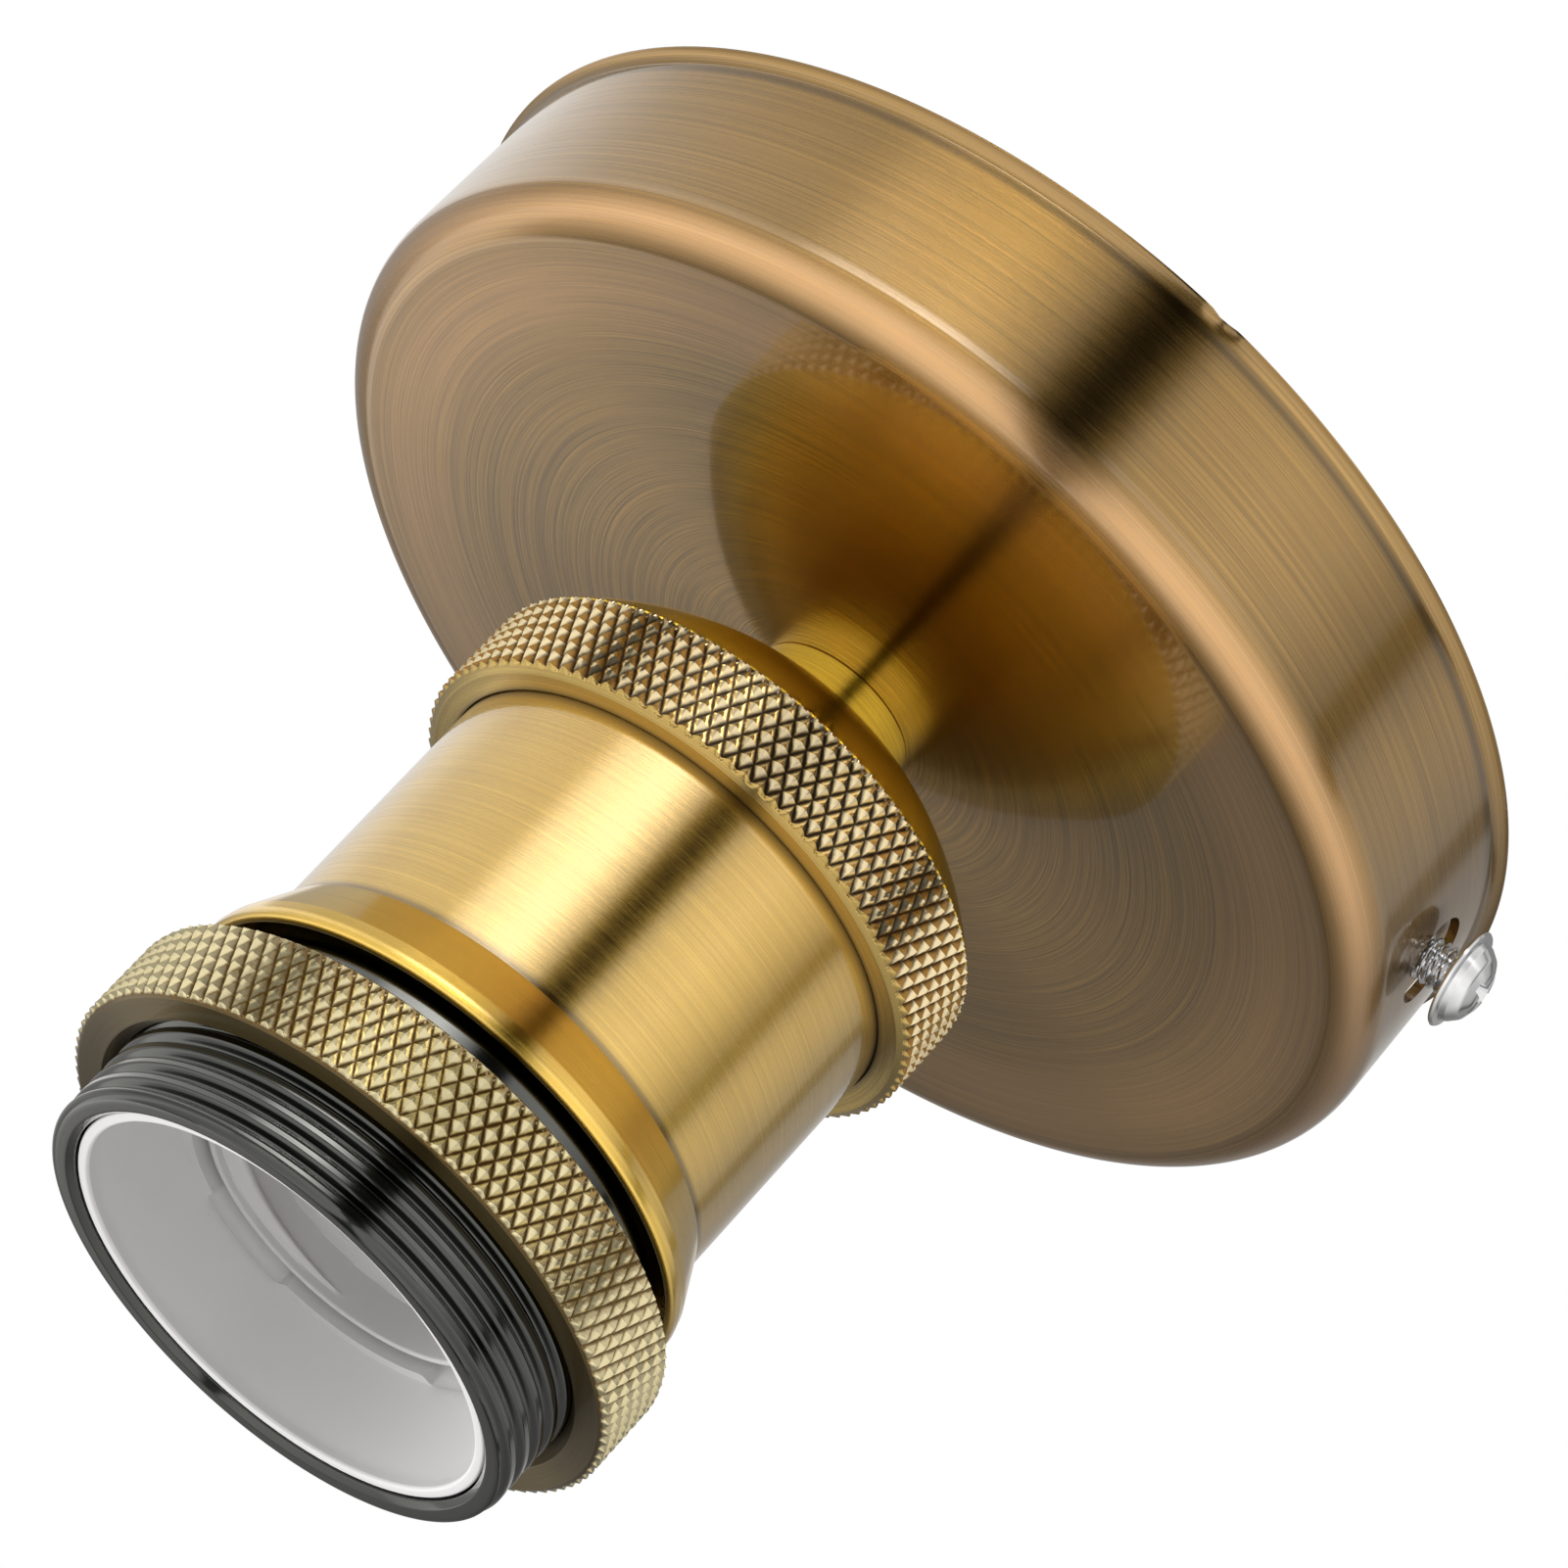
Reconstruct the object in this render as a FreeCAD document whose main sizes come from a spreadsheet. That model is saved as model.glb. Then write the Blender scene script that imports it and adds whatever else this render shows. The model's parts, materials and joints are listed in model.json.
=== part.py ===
"""Ceiling lamp holder: a round canopy with a knurled screw-shell lamp holder hanging from it.

Frame: millimetres, +Z up, origin at the centre of the canopy's rim plane, which lies on
the ceiling. +X points at one of the two screws in the canopy's wall. Every level below
is chained downwards from the ceiling, and each piece is drawn from its own datum.
"""
import FreeCAD, Part
import math
import os
import Sketcher

Vector = FreeCAD.Vector
Constraint = Sketcher.Constraint

document = FreeCAD.newDocument("CeilingLampHolder")
sheet = document.addObject("Spreadsheet::Sheet", "Sizes")

# Driving dimensions in millimetres and degrees: name, value, what it measures
DRIVING_SIZES = [
    ("canopy_depth", 19.0, "canopy, from the ceiling to its flat face"),
    ("canopy_wall_radius", 49.5, "canopy wall at the face"),
    ("canopy_taper", 0.3, "how much the wall draws in towards the rim"),
    ("canopy_rim_flare", 0.5, "how far the rim stands out past the wall at the face"),
    ("canopy_rim_height", 1.1, "height of the turned-out rim"),
    ("canopy_rim_round", 1.3, "arc of the turned-out rim"),
    ("canopy_rim_edge", 0.15, "plain edge of the rim"),
    ("canopy_rim_roll", 0.2, "how far the rim's inner edge rolls outwards"),
    ("canopy_corner", 3.5, "outside corner between wall and face"),
    ("canopy_sheet", 0.8, "canopy sheet"),
    ("side_hole_clearance", 1.85, "screw hole in the canopy wall, round the screw"),
    ("side_screw_depth", 8.8, "side screws, below the ceiling"),
    ("bracket_width", 14.0, "ceiling bracket strip"),
    ("bracket_sheet", 1.2, "ceiling bracket sheet"),
    ("bracket_bend", 2.0, "outside bend of the ceiling bracket"),
    ("bracket_gap", 0.4, "between the bracket's corners and the canopy wall"),
    ("bracket_ear_depth", 13.5, "how far the ears reach below the ceiling"),
    ("ceiling_slot_spacing", 58.0, "between the two ceiling slots"),
    ("ceiling_slot_length", 14.0, "ceiling slot, end to end"),
    ("ceiling_slot_width", 4.6, "ceiling slot"),
    ("wire_hole_radius", 6.0, "hole in the middle of the bracket"),
    ("earth_place", 14.5, "earth screw, from the axis"),
    ("machine_screw_radius", 1.95, "shank of the side and earth screws"),
    ("thread_clearance", 0.05, "radial clearance of a screw in its thread"),
    ("side_screw_length", 10.0, "side screw shank"),
    ("side_screw_standoff", 2.3, "between the canopy wall and the loose right screw's flange"),
    ("side_screw_seat_gap", 0.3, "between the canopy wall and the tight left screw's flange"),
    ("screw_point", 0.6, "chamfer at the point of a screw's shank"),
    ("screw_flange_width", 0.7, "flange of a side screw, past its pan"),
    ("screw_flange_height", 0.5, "flange of a side screw"),
    ("screw_flange_edge", 0.3, "straight edge of that flange"),
    ("screw_head_radius", 3.5, "pan of a screw head"),
    ("screw_head_height", 1.9, "pan of a screw head"),
    ("screw_head_edge", 0.5, "straight edge of a pan head"),
    ("screw_head_round", 2.8, "arc from that edge to the crown"),
    ("screw_crown", 1.6, "flat crown of a pan head"),
    ("recess_length", 4.0, "cross recess, across"),
    ("recess_width", 0.9, "cross recess, one arm"),
    ("recess_depth", 1.3, "cross recess"),
    ("earth_screw_length", 1.8, "earth screw shank, from its washer through the bracket"),
    ("earth_washer_radius", 4.6, "cupped earth washer"),
    ("earth_washer_height", 1.2, "cupped earth washer"),
    ("washer_sheet", 0.7, "washer sheet"),
    ("nipple_wall", 1.3, "wall of the hollow threaded nipple"),
    ("nipple_bore", 3.7, "wire way through the nipple"),
    ("nipple_clearance", 0.15, "radial clearance round the nipple"),
    ("nipple_top_reach", 2.0, "nipple above its upper nut"),
    ("nipple_end_reach", 1.5, "nipple below its lower nut"),
    ("nut_wall", 2.0, "nipple nuts, from the nipple to a flat"),
    ("nut_height", 3.2, "nipple nuts"),
    ("nut_chamfer", 0.9, "nipple nuts, chamfer on the corners"),
    ("nut_chamfer_drop", 0.4, "nipple nuts, height of that chamfer"),
    ("lock_washer_width", 3.45, "lock washer on the nipple"),
    ("lock_tooth_depth", 1.1, "notches between the lock washer's teeth"),
    ("lock_notch_width", 1.25, "notches between the lock washer's teeth"),
    ("collar_wall", 1.85, "wall of the distance collar"),
    ("collar_length", 3.6, "distance collar"),
    ("cap_height", 18.35, "socket cap, from its seat to its front face"),
    ("cap_face_width", 1.8, "front face of the cap, past the shell"),
    ("cap_knurl_length", 7.3, "knurled band of the cap"),
    ("cap_chamfer_width", 0.9, "front chamfer of the cap"),
    ("cap_chamfer_height", 0.65, "front chamfer of the cap"),
    ("cap_shoulder_width", 0.4, "step in from the band to the foot of the dome"),
    ("cap_shoulder_height", 0.35, "step between the band and the dome"),
    ("dome_radius", 29.3, "sphere of the dome"),
    ("cap_wall", 1.6, "wall of the dome"),
    ("cap_recess", 4.0, "how deep the shell sits in the cap"),
    ("shell_wall", 0.6, "outer shell"),
    ("shell_length", 22.5, "outer shell in view, above its skirt"),
    ("skirt_height", 6.05, "flared skirt of the shell"),
    ("skirt_step", 0.25, "step out from the shell to the top of the skirt"),
    ("skirt_spread", 2.0, "how far the skirt's cone spreads"),
    ("skirt_cone_height", 4.15, "cone of the skirt"),
    ("skirt_lip_swell", 0.25, "how far the lip swells out past the cone"),
    ("skirt_lip_round", 4.75, "arc between the lip and the cone"),
    ("slip_clearance", 0.1, "radial clearance of a sleeve that slides on"),
    ("barrel_reach", 18.1, "threaded barrel below the skirt"),
    ("barrel_crest_step", 1.7, "crests of the barrel thread, past the rear sleeve"),
    ("barrel_pitch", 1.65, "pitch of the barrel thread"),
    ("barrel_thread_depth", 0.65, "depth of the barrel thread"),
    ("barrel_crest_width", 0.43, "flat crest of the barrel thread"),
    ("barrel_thread_turns", 8.0, "turns of the barrel thread"),
    ("barrel_nose", 0.6, "rounded nose of the barrel"),
    ("barrel_neck_step", 0.3, "plain neck above the thread, in from the crests"),
    ("barrel_neck_end", 18.2, "top of the neck, behind the mouth"),
    ("barrel_waist_step", 0.4, "waist between the neck and the skirt, past the rear sleeve"),
    ("core_shoulder", 0.8, "step in the barrel that the core's flange sits on"),
    ("barrel_bevel", 0.45, "bevel at the mouth of the bore"),
    ("sleeve_wall", 1.2, "rear sleeve of the barrel"),
    ("sleeve_engagement", 4.8, "rear sleeve screwed into the cap"),
    ("ring_band", 3.8, "shade ring, from the crests of the thread to its knurl"),
    ("ring_chamfer_width", 0.7, "chamfers of the shade ring"),
    ("ring_chamfer_height", 0.4, "chamfers of the shade ring"),
    ("ring_length", 7.85, "shade ring"),
    ("ring_setback", 7.15, "shade ring, behind the mouth"),
    ("ring_countersink", 0.9, "countersink of the shade ring's bore"),
    ("liner_clearance", 0.15, "radial clearance of the liner in the barrel"),
    ("liner_setback", 0.55, "liner rim, behind the mouth"),
    ("liner_wall", 0.9, "liner"),
    ("liner_throat_gap", 0.75, "between the core's lip and the liner's throat"),
    ("liner_funnel", 10.45, "depth of the liner's cone"),
    ("liner_collar", 2.0, "collar that clips on the core"),
    ("land_rise", 0.5, "lands round the core's lip, ahead of the lip"),
    ("land_sweep", 55.0, "one land, in degrees"),
    ("land_turn", 59.4, "where the first land starts, in degrees from +X"),
    ("core_bore", 13.4, "radius of the lamp bore"),
    ("core_wall", 5.05, "core, from its bore to its outside"),
    ("core_lip_wall", 0.55, "thin lip round the lamp bore"),
    ("core_lip_setback", 9.1, "core lip, behind the mouth"),
    ("core_boss_height", 1.0, "boss that the liner clips on"),
    ("core_flange", 2.0, "core flange"),
    ("core_clearance", 0.15, "radial clearance of the core"),
    ("core_bore_depth", 26.9, "lamp bore, from its lip to its floor"),
    ("core_floor", 4.0, "floor of the core"),
    ("lamp_pitch", 3.63, "pitch of the lamp thread"),
    ("lamp_ridge_height", 1.1, "ridge of the lamp thread"),
    ("lamp_ridge_foot", 1.9, "ridge of the lamp thread at its foot"),
    ("lamp_ridge_crest", 0.6, "ridge of the lamp thread at its crest"),
    ("lamp_thread_setback", 1.6, "start of the lamp thread, behind the lip"),
    ("lamp_thread_turn", 96.4, "where the lamp thread starts, in degrees from +X"),
    ("lamp_turns", 4.0, "turns of the lamp thread"),
    ("contact_sheet", 0.4, "contact springs"),
    ("contact_width", 4.6, "contact springs"),
    ("contact_gap", 0.3, "free play over and under the contact roots"),
    ("contact_root", 1.6, "half length of a contact's root"),
    ("contact_drop", 3.4, "how far the centre contact stands off the floor"),
    ("contact_crown", 2.4, "half width of the centre contact's crown"),
    ("centre_rivet_inset", 4.4, "rivet of the centre contact, in from the bore wall"),
    ("side_rivet_inset", 3.8, "rivet of the side contact, in from the bore wall"),
    ("side_contact_inset", 1.1, "side contact, in from the bore wall"),
    ("side_contact_length", 8.6, "side contact"),
    ("side_contact_bow", 0.5, "how far the side contact bows inwards"),
    ("rivet_radius", 1.0, "contact rivets"),
    ("rivet_head_radius", 1.8, "heads of the contact rivets"),
    ("rivet_head_height", 0.8, "heads of the contact rivets"),
    ("terminal_length", 9.0, "terminal block, along the wire"),
    ("terminal_width", 6.0, "terminal block"),
    ("terminal_height", 6.0, "terminal block"),
    ("terminal_pocket", 0.8, "pocket in the core that seats a terminal block"),
    ("terminal_inset", 4.1, "terminal blocks, in from the bore wall"),
    ("wire_entry_radius", 1.5, "wire hole of a terminal block"),
    ("wire_entry_height", 2.6, "wire hole above the block's foot"),
    ("clamp_screw_radius", 1.45, "shank of a terminal screw"),
    ("clamp_screw_reach", 1.2, "terminal screw below the block's top"),
    ("clamp_screw_standoff", 1.7, "terminal screw's head above its block"),
    ("clamp_head_radius", 2.6, "head of a terminal screw"),
    ("clamp_head_height", 1.7, "head of a terminal screw"),
    ("clamp_head_bevel", 0.2, "terminal screw, bevel of the head"),
    ("driver_slot", 0.7, "driver slot of a terminal screw"),
]


class Size:
    """A length with its value and the expression that binds it to the sheet."""

    def __init__(self, value, text):
        self.value = float(value)
        self.text = text

    def join(self, other, sign, value):
        return Size(value, "(%s %s %s)" % (self.text, sign, other.text))

    def __add__(self, other):
        other = plain(other)
        return self.join(other, "+", self.value + other.value)

    def __sub__(self, other):
        other = plain(other)
        return self.join(other, "-", self.value - other.value)

    def __mul__(self, other):
        other = plain(other)
        return self.join(other, "*", self.value * other.value)

    def __truediv__(self, other):
        other = plain(other)
        return self.join(other, "/", self.value / other.value)

    def __neg__(self):
        return Size(-self.value, "(0 - %s)" % self.text)


def plain(number):
    """Turn a bare number into a Size, and leave a Size as it is."""
    if isinstance(number, Size):
        return number
    return Size(number, "%.9g" % number)


def root(size):
    """Square root of a Size."""
    return Size(math.sqrt(size.value), "sqrt(%s)" % size.text)


def fill_sheet():
    """Write the driving dimensions into the sheet, and return them by name."""
    sizes = {}
    for row, (name, value, note) in enumerate(DRIVING_SIZES, start=1):
        sheet.set("A%d" % row, name)
        sheet.set("B%d" % row, "%g" % value)
        sheet.setAlias("B%d" % row, name)
        sheet.set("C%d" % row, note)
        sizes[name] = Size(value, "Sizes." + name)
    document.recompute()
    return sizes


class Named:
    """The driving dimensions as attributes."""

    def __init__(self, sizes):
        self.__dict__.update(sizes)


S = Named(fill_sheet())
NOTHING = plain(0)

# An arc that meets its neighbours square has half its chord for radius, and a hair more
ROUND = 1.0001

# Levels below the ceiling
FACE_LEVEL = -S.canopy_depth
SEAT_LEVEL = FACE_LEVEL - S.collar_length
CAP_FRONT_LEVEL = SEAT_LEVEL - S.cap_height
STEP_LEVEL = CAP_FRONT_LEVEL - S.shell_length
LIP_LEVEL = STEP_LEVEL - S.skirt_height
MOUTH_LEVEL = LIP_LEVEL - S.barrel_reach

# Radii from the lamp bore outwards
CORE_RADIUS = S.core_bore + S.core_wall
SLEEVE_BORE = CORE_RADIUS + S.core_clearance
SLEEVE_RADIUS = SLEEVE_BORE + S.sleeve_wall
SHELL_BORE = SLEEVE_RADIUS + S.slip_clearance
SHELL_RADIUS = SHELL_BORE + S.shell_wall
SKIRT_TOP = SHELL_RADIUS + S.skirt_step
SKIRT_FOOT = SKIRT_TOP + S.skirt_spread
SKIRT_LIP = SKIRT_FOOT + S.skirt_lip_swell
SKIRT_WALL = SKIRT_TOP - SHELL_BORE
SKIRT_SLOPE = S.skirt_spread / S.skirt_cone_height
BARREL_CREST = SLEEVE_RADIUS + S.barrel_crest_step
BARREL_NECK = BARREL_CREST - S.barrel_neck_step
BARREL_WAIST = SLEEVE_RADIUS + S.barrel_waist_step
BARREL_BORE = SLEEVE_BORE + S.core_shoulder
RING_RADIUS = BARREL_CREST + S.ring_band
RING_FACE = RING_RADIUS - S.ring_chamfer_width
LINER_RADIUS = BARREL_BORE - S.liner_clearance
LINER_THROAT = S.core_bore + S.core_lip_wall + S.liner_throat_gap
CAP_FACE = SHELL_RADIUS + S.cap_face_width
CAP_BAND = CAP_FACE + S.cap_chamfer_width
CAP_SHOULDER = CAP_BAND - S.cap_shoulder_width

# Radii about the wire way and the screws
NIPPLE_RADIUS = S.nipple_bore + S.nipple_wall
NIPPLE_HOLE = NIPPLE_RADIUS + S.nipple_clearance
COLLAR_RADIUS = NIPPLE_HOLE + S.collar_wall
LOCK_WASHER_RADIUS = NIPPLE_HOLE + S.lock_washer_width
NUT_HALF = NIPPLE_RADIUS + S.nut_wall
NUT_REACH = NUT_HALF * 2 / math.sqrt(3)
SCREW_THREAD = S.machine_screw_radius + S.thread_clearance
SCREW_FLANGE = S.screw_head_radius + S.screw_flange_width
CANOPY_RIM = S.canopy_wall_radius + S.canopy_rim_flare

# Places across the core
CENTRE_RIVET = S.core_bore - S.centre_rivet_inset
SIDE_RIVET = S.core_bore - S.side_rivet_inset
SIDE_CONTACT = S.core_bore - S.side_contact_inset
TERMINAL_PLACE = S.core_bore - S.terminal_inset

# Heights above the mouth
CORE_FLANGE_BASE = S.liner_setback + S.liner_funnel + S.liner_collar
CORE_SEAT = CORE_FLANGE_BASE + S.core_flange
CORE_FLOOR_FACE = S.core_lip_setback + S.core_bore_depth
CORE_BACK = CORE_FLOOR_FACE + S.core_floor
SHELL_STEP = S.barrel_reach + S.skirt_height
CAP_FRONT = SHELL_STEP + S.shell_length


def bind(thing, prop, size):
    """Set a property of an object to a Size and bind it to the sheet."""
    thing.setExpression(prop, size.text)


def new_body(name, level=NOTHING, place_x=NOTHING, turn=None):
    """A body named after its piece, with its datum at a level below the ceiling."""
    body = document.addObject("PartDesign::Body", name)
    body.Label = name
    rotation = turn or FreeCAD.Rotation()
    body.Placement = FreeCAD.Placement(Vector(place_x.value, 0, level.value), rotation)
    bind(body, "Placement.Base.x", place_x)
    bind(body, "Placement.Base.z", level)
    return body


def new_sketch(body, name, role="XZ_Plane", lift=None, turn=None):
    """A sketch on one of the body's own origin planes, lifted off it or, if it stands on
    the XZ plane, turned round the body's Z axis."""
    planes = [item for item in body.Origin.OriginFeatures if item.Role == role]
    sketch = body.newObject("Sketcher::SketchObject", name)
    sketch.AttachmentSupport = (planes[0], [""])
    sketch.MapMode = "FlatFace"
    if lift is not None:
        sketch.AttachmentOffset = FreeCAD.Placement(Vector(0, 0, lift.value), FreeCAD.Rotation())
        bind(sketch, "AttachmentOffset.Base.z", lift)
    if turn is not None:
        rotation = FreeCAD.Rotation(Vector(0, 1, 0), turn.value)
        sketch.AttachmentOffset = FreeCAD.Placement(Vector(), rotation)
        bind(sketch, "AttachmentOffset.Rotation.Angle", turn)
    return sketch


def hold_distance(sketch, kind, index, end, size):
    """Hold one coordinate of a point at a Size from the sketch's origin."""
    if size.text == "0":
        axis = -2 if kind == "DistanceX" else -1
        sketch.addConstraint(Constraint("PointOnObject", index, end, axis))
        return
    number = sketch.addConstraint(Constraint(kind, -1, 1, index, end, size.value))
    bind(sketch, "Constraints[%d]" % number, size)


def arc_between(first, last, bend):
    """Arc of radius |bend| between two points, its centre left of the way if bend > 0."""
    middle = (first + last) * 0.5
    chord = last - first
    half = chord.Length * 0.5
    height = math.sqrt(max(bend * bend - half * half, 0.0))
    left = Vector(-chord.y, chord.x, 0).normalize()
    centre = middle + left * math.copysign(height, bend)
    ends = (first, last) if bend > 0 else (last, first)
    angles = [math.atan2(point.y - centre.y, point.x - centre.x) for point in ends]
    circle = Part.Circle(centre, Vector(0, 0, 1), abs(bend))
    return Part.ArcOfCircle(circle, angles[0], angles[1])


def outline(sketch, corners):
    """Close an outline through (x, y) corners, each with a third value where an arc
    leaves it: the arc's radius, positive where its centre lies to the left."""
    corners = [tuple(plain(value) for value in corner) for corner in corners]
    points = [Vector(corner[0].value, corner[1].value, 0) for corner in corners]
    start = sketch.GeometryCount
    count = len(corners)
    heads = []
    tails = []
    for index, corner in enumerate(corners):
        after = points[(index + 1) % count]
        if len(corner) == 3:
            bend = corner[2]
            sketch.addGeometry(arc_between(points[index], after, bend.value), False)
            heads.append(1 if bend.value > 0 else 2)
            tails.append(2 if bend.value > 0 else 1)
        else:
            sketch.addGeometry(Part.LineSegment(points[index], after), False)
            heads.append(1)
            tails.append(2)
    for index, corner in enumerate(corners):
        here = start + index
        following = start + (index + 1) % count
        link = Constraint("Coincident", here, tails[index], following, heads[(index + 1) % count])
        sketch.addConstraint(link)
        hold_distance(sketch, "DistanceX", here, heads[index], corner[0])
        hold_distance(sketch, "DistanceY", here, heads[index], corner[1])
        if len(corner) == 3:
            radius = corner[2] if corner[2].value > 0 else -corner[2]
            number = sketch.addConstraint(Constraint("Radius", here, radius.value))
            bind(sketch, "Constraints[%d]" % number, radius)


def round_hole(sketch, place_x, place_y, radius):
    """A circle at a place in the sketch."""
    place_x = plain(place_x)
    place_y = plain(place_y)
    centre = Vector(place_x.value, place_y.value, 0)
    index = sketch.addGeometry(Part.Circle(centre, Vector(0, 0, 1), radius.value), False)
    hold_distance(sketch, "DistanceX", index, 3, place_x)
    hold_distance(sketch, "DistanceY", index, 3, place_y)
    number = sketch.addConstraint(Constraint("Radius", index, radius.value))
    bind(sketch, "Constraints[%d]" % number, radius)


def box_outline(sketch, low_x, high_x, low_y, high_y):
    """A rectangle between two corners."""
    outline(sketch, [(low_x, low_y), (high_x, low_y), (high_x, high_y), (low_x, high_y)])


def turned(body, name, corners, kind="PartDesign::Revolution"):
    """Revolve a section about the body's Z axis, to add it or to cut it away."""
    sketch = new_sketch(body, name + "_section")
    outline(sketch, corners)
    feature = body.newObject(kind, name)
    feature.Profile = sketch
    feature.ReferenceAxis = (sketch, ["V_Axis"])
    feature.Angle = 360
    body.Tip = feature
    document.recompute()
    return feature


def padded(body, name, sketch, length, both_ways=False):
    """Raise a sketch into a solid."""
    feature = body.newObject("PartDesign::Pad", name)
    feature.Profile = sketch
    feature.Length = length.value
    bind(feature, "Length", length)
    if both_ways:
        feature.SideType = "Symmetric"
    body.Tip = feature
    document.recompute()
    return feature


def pocketed(body, name, sketch, depth=None):
    """Cut a sketch into the body: to a depth against its normal, or through both ways."""
    feature = body.newObject("PartDesign::Pocket", name)
    feature.Profile = sketch
    if depth is None:
        feature.Type = "ThroughAll"
        feature.SideType = "Two sides"
        feature.Type2 = "ThroughAll"
    else:
        feature.Type = "Length"
        feature.Length = depth.value
        bind(feature, "Length", depth)
    body.Tip = feature
    document.recompute()
    return feature


def patterned(body, name, feature, count):
    """Repeat a feature round the body's Z axis."""
    pattern = body.newObject("PartDesign::PolarPattern", name)
    pattern.Originals = [feature]
    pattern.Axis = ([item for item in body.Origin.OriginFeatures if item.Role == "Z_Axis"][0], [""])
    pattern.Angle = 360
    pattern.Occurrences = count
    body.Tip = pattern
    document.recompute()
    return pattern


def build_canopy():
    """Spun cup: flat face, rounded corner, slightly tapered wall and a turned-out rim."""
    body = new_body("canopy", FACE_LEVEL)
    neck = S.canopy_wall_radius - S.canopy_taper
    rim_foot = S.canopy_depth - S.canopy_rim_height
    inner_corner = S.canopy_corner - S.canopy_sheet
    turned(body, "canopy_cup", [
        (NIPPLE_HOLE, 0),
        (S.canopy_wall_radius - S.canopy_corner, 0, S.canopy_corner),
        (S.canopy_wall_radius, S.canopy_corner),
        (neck, rim_foot, -S.canopy_rim_round),
        (CANOPY_RIM, S.canopy_depth - S.canopy_rim_edge),
        (CANOPY_RIM, S.canopy_depth),
        (neck - S.canopy_sheet + S.canopy_rim_roll, S.canopy_depth),
        (neck - S.canopy_sheet, rim_foot),
        (S.canopy_wall_radius - S.canopy_sheet, S.canopy_corner, -inner_corner),
        (S.canopy_wall_radius - S.canopy_corner, S.canopy_sheet),
        (NIPPLE_HOLE, S.canopy_sheet),
    ])
    holes = new_sketch(body, "side_holes_outline", "YZ_Plane")
    round_hole(holes, 0, S.canopy_depth - S.side_screw_depth, S.machine_screw_radius + S.side_hole_clearance)
    pocketed(body, "side_holes", holes)


def bracket_reach():
    """Outer face of the bracket's ears, inside the canopy wall by the gap at its corners."""
    inside = S.canopy_wall_radius - S.canopy_taper - S.canopy_sheet - S.bracket_gap
    half = S.bracket_width / 2
    return root(inside * inside - half * half)


EAR_FACE = bracket_reach()


def build_ceiling_bracket():
    """Strip folded down at both ends, with ceiling slots and tapped ears."""
    body = new_body("ceiling_bracket")
    reach = EAR_FACE
    inner = reach - S.bracket_sheet
    bend = S.bracket_bend
    inner_bend = S.bracket_bend - S.bracket_sheet
    profile = new_sketch(body, "bracket_profile")
    outline(profile, [
        (-reach, -S.bracket_ear_depth),
        (-inner, -S.bracket_ear_depth),
        (-inner, -bend, -inner_bend),
        (bend - reach, -S.bracket_sheet),
        (reach - bend, -S.bracket_sheet, -inner_bend),
        (inner, -bend),
        (inner, -S.bracket_ear_depth),
        (reach, -S.bracket_ear_depth),
        (reach, -bend, bend),
        (reach - bend, 0),
        (bend - reach, 0, bend),
        (-reach, -bend),
    ])
    padded(body, "folded_strip", profile, S.bracket_width, both_ways=True)
    openings = new_sketch(body, "strip_openings", "XY_Plane")
    end = S.ceiling_slot_width / 2
    straight = (S.ceiling_slot_length - S.ceiling_slot_width) / 2
    for side in (-1, 1):
        middle = S.ceiling_slot_spacing / 2 * side
        outline(openings, [
            (middle - straight, -end),
            (middle + straight, -end, end * ROUND),
            (middle + straight, end),
            (middle - straight, end, end * ROUND),
        ])
    round_hole(openings, 0, 0, S.wire_hole_radius)
    round_hole(openings, -S.earth_place, 0, SCREW_THREAD)
    pocketed(body, "strip_holes", openings)
    ears = new_sketch(body, "ear_holes_outline", "YZ_Plane")
    round_hole(ears, 0, -S.side_screw_depth, SCREW_THREAD)
    pocketed(body, "ear_holes", ears)


def add_cross_recess(body, top):
    """Cross recess sunk into a screw head from its top."""
    half = S.recess_length / 2
    arm = S.recess_width / 2
    sketch = new_sketch(body, "cross_outline", "XY_Plane", lift=top)
    outline(sketch, [
        (-half, -arm), (-arm, -arm), (-arm, -half), (arm, -half), (arm, -arm), (half, -arm),
        (half, arm), (arm, arm), (arm, half), (-arm, half), (-arm, arm), (-half, arm),
    ])
    pocketed(body, "cross_recess", sketch, S.recess_depth)


def build_side_screw(name, side, standoff):
    """Flanged pan-head screw through the canopy wall into an ear, its head outside."""
    flange_face = S.canopy_wall_radius + standoff
    turn = FreeCAD.Rotation(Vector(0, 1, 0), 90 * side)
    body = new_body(name, -S.side_screw_depth, flange_face * side, turn)
    head_top = S.screw_flange_height + S.screw_head_height
    turned(body, "screw", [
        (0, -S.side_screw_length),
        (S.machine_screw_radius - S.screw_point, -S.side_screw_length),
        (S.machine_screw_radius, S.screw_point - S.side_screw_length),
        (S.machine_screw_radius, 0),
        (SCREW_FLANGE, 0),
        (SCREW_FLANGE, S.screw_flange_edge),
        (S.screw_head_radius, S.screw_flange_height),
        (S.screw_head_radius, S.screw_flange_height + S.screw_head_edge, S.screw_head_round),
        (S.screw_crown, head_top),
        (0, head_top),
    ])
    add_cross_recess(body, head_top)


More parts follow.
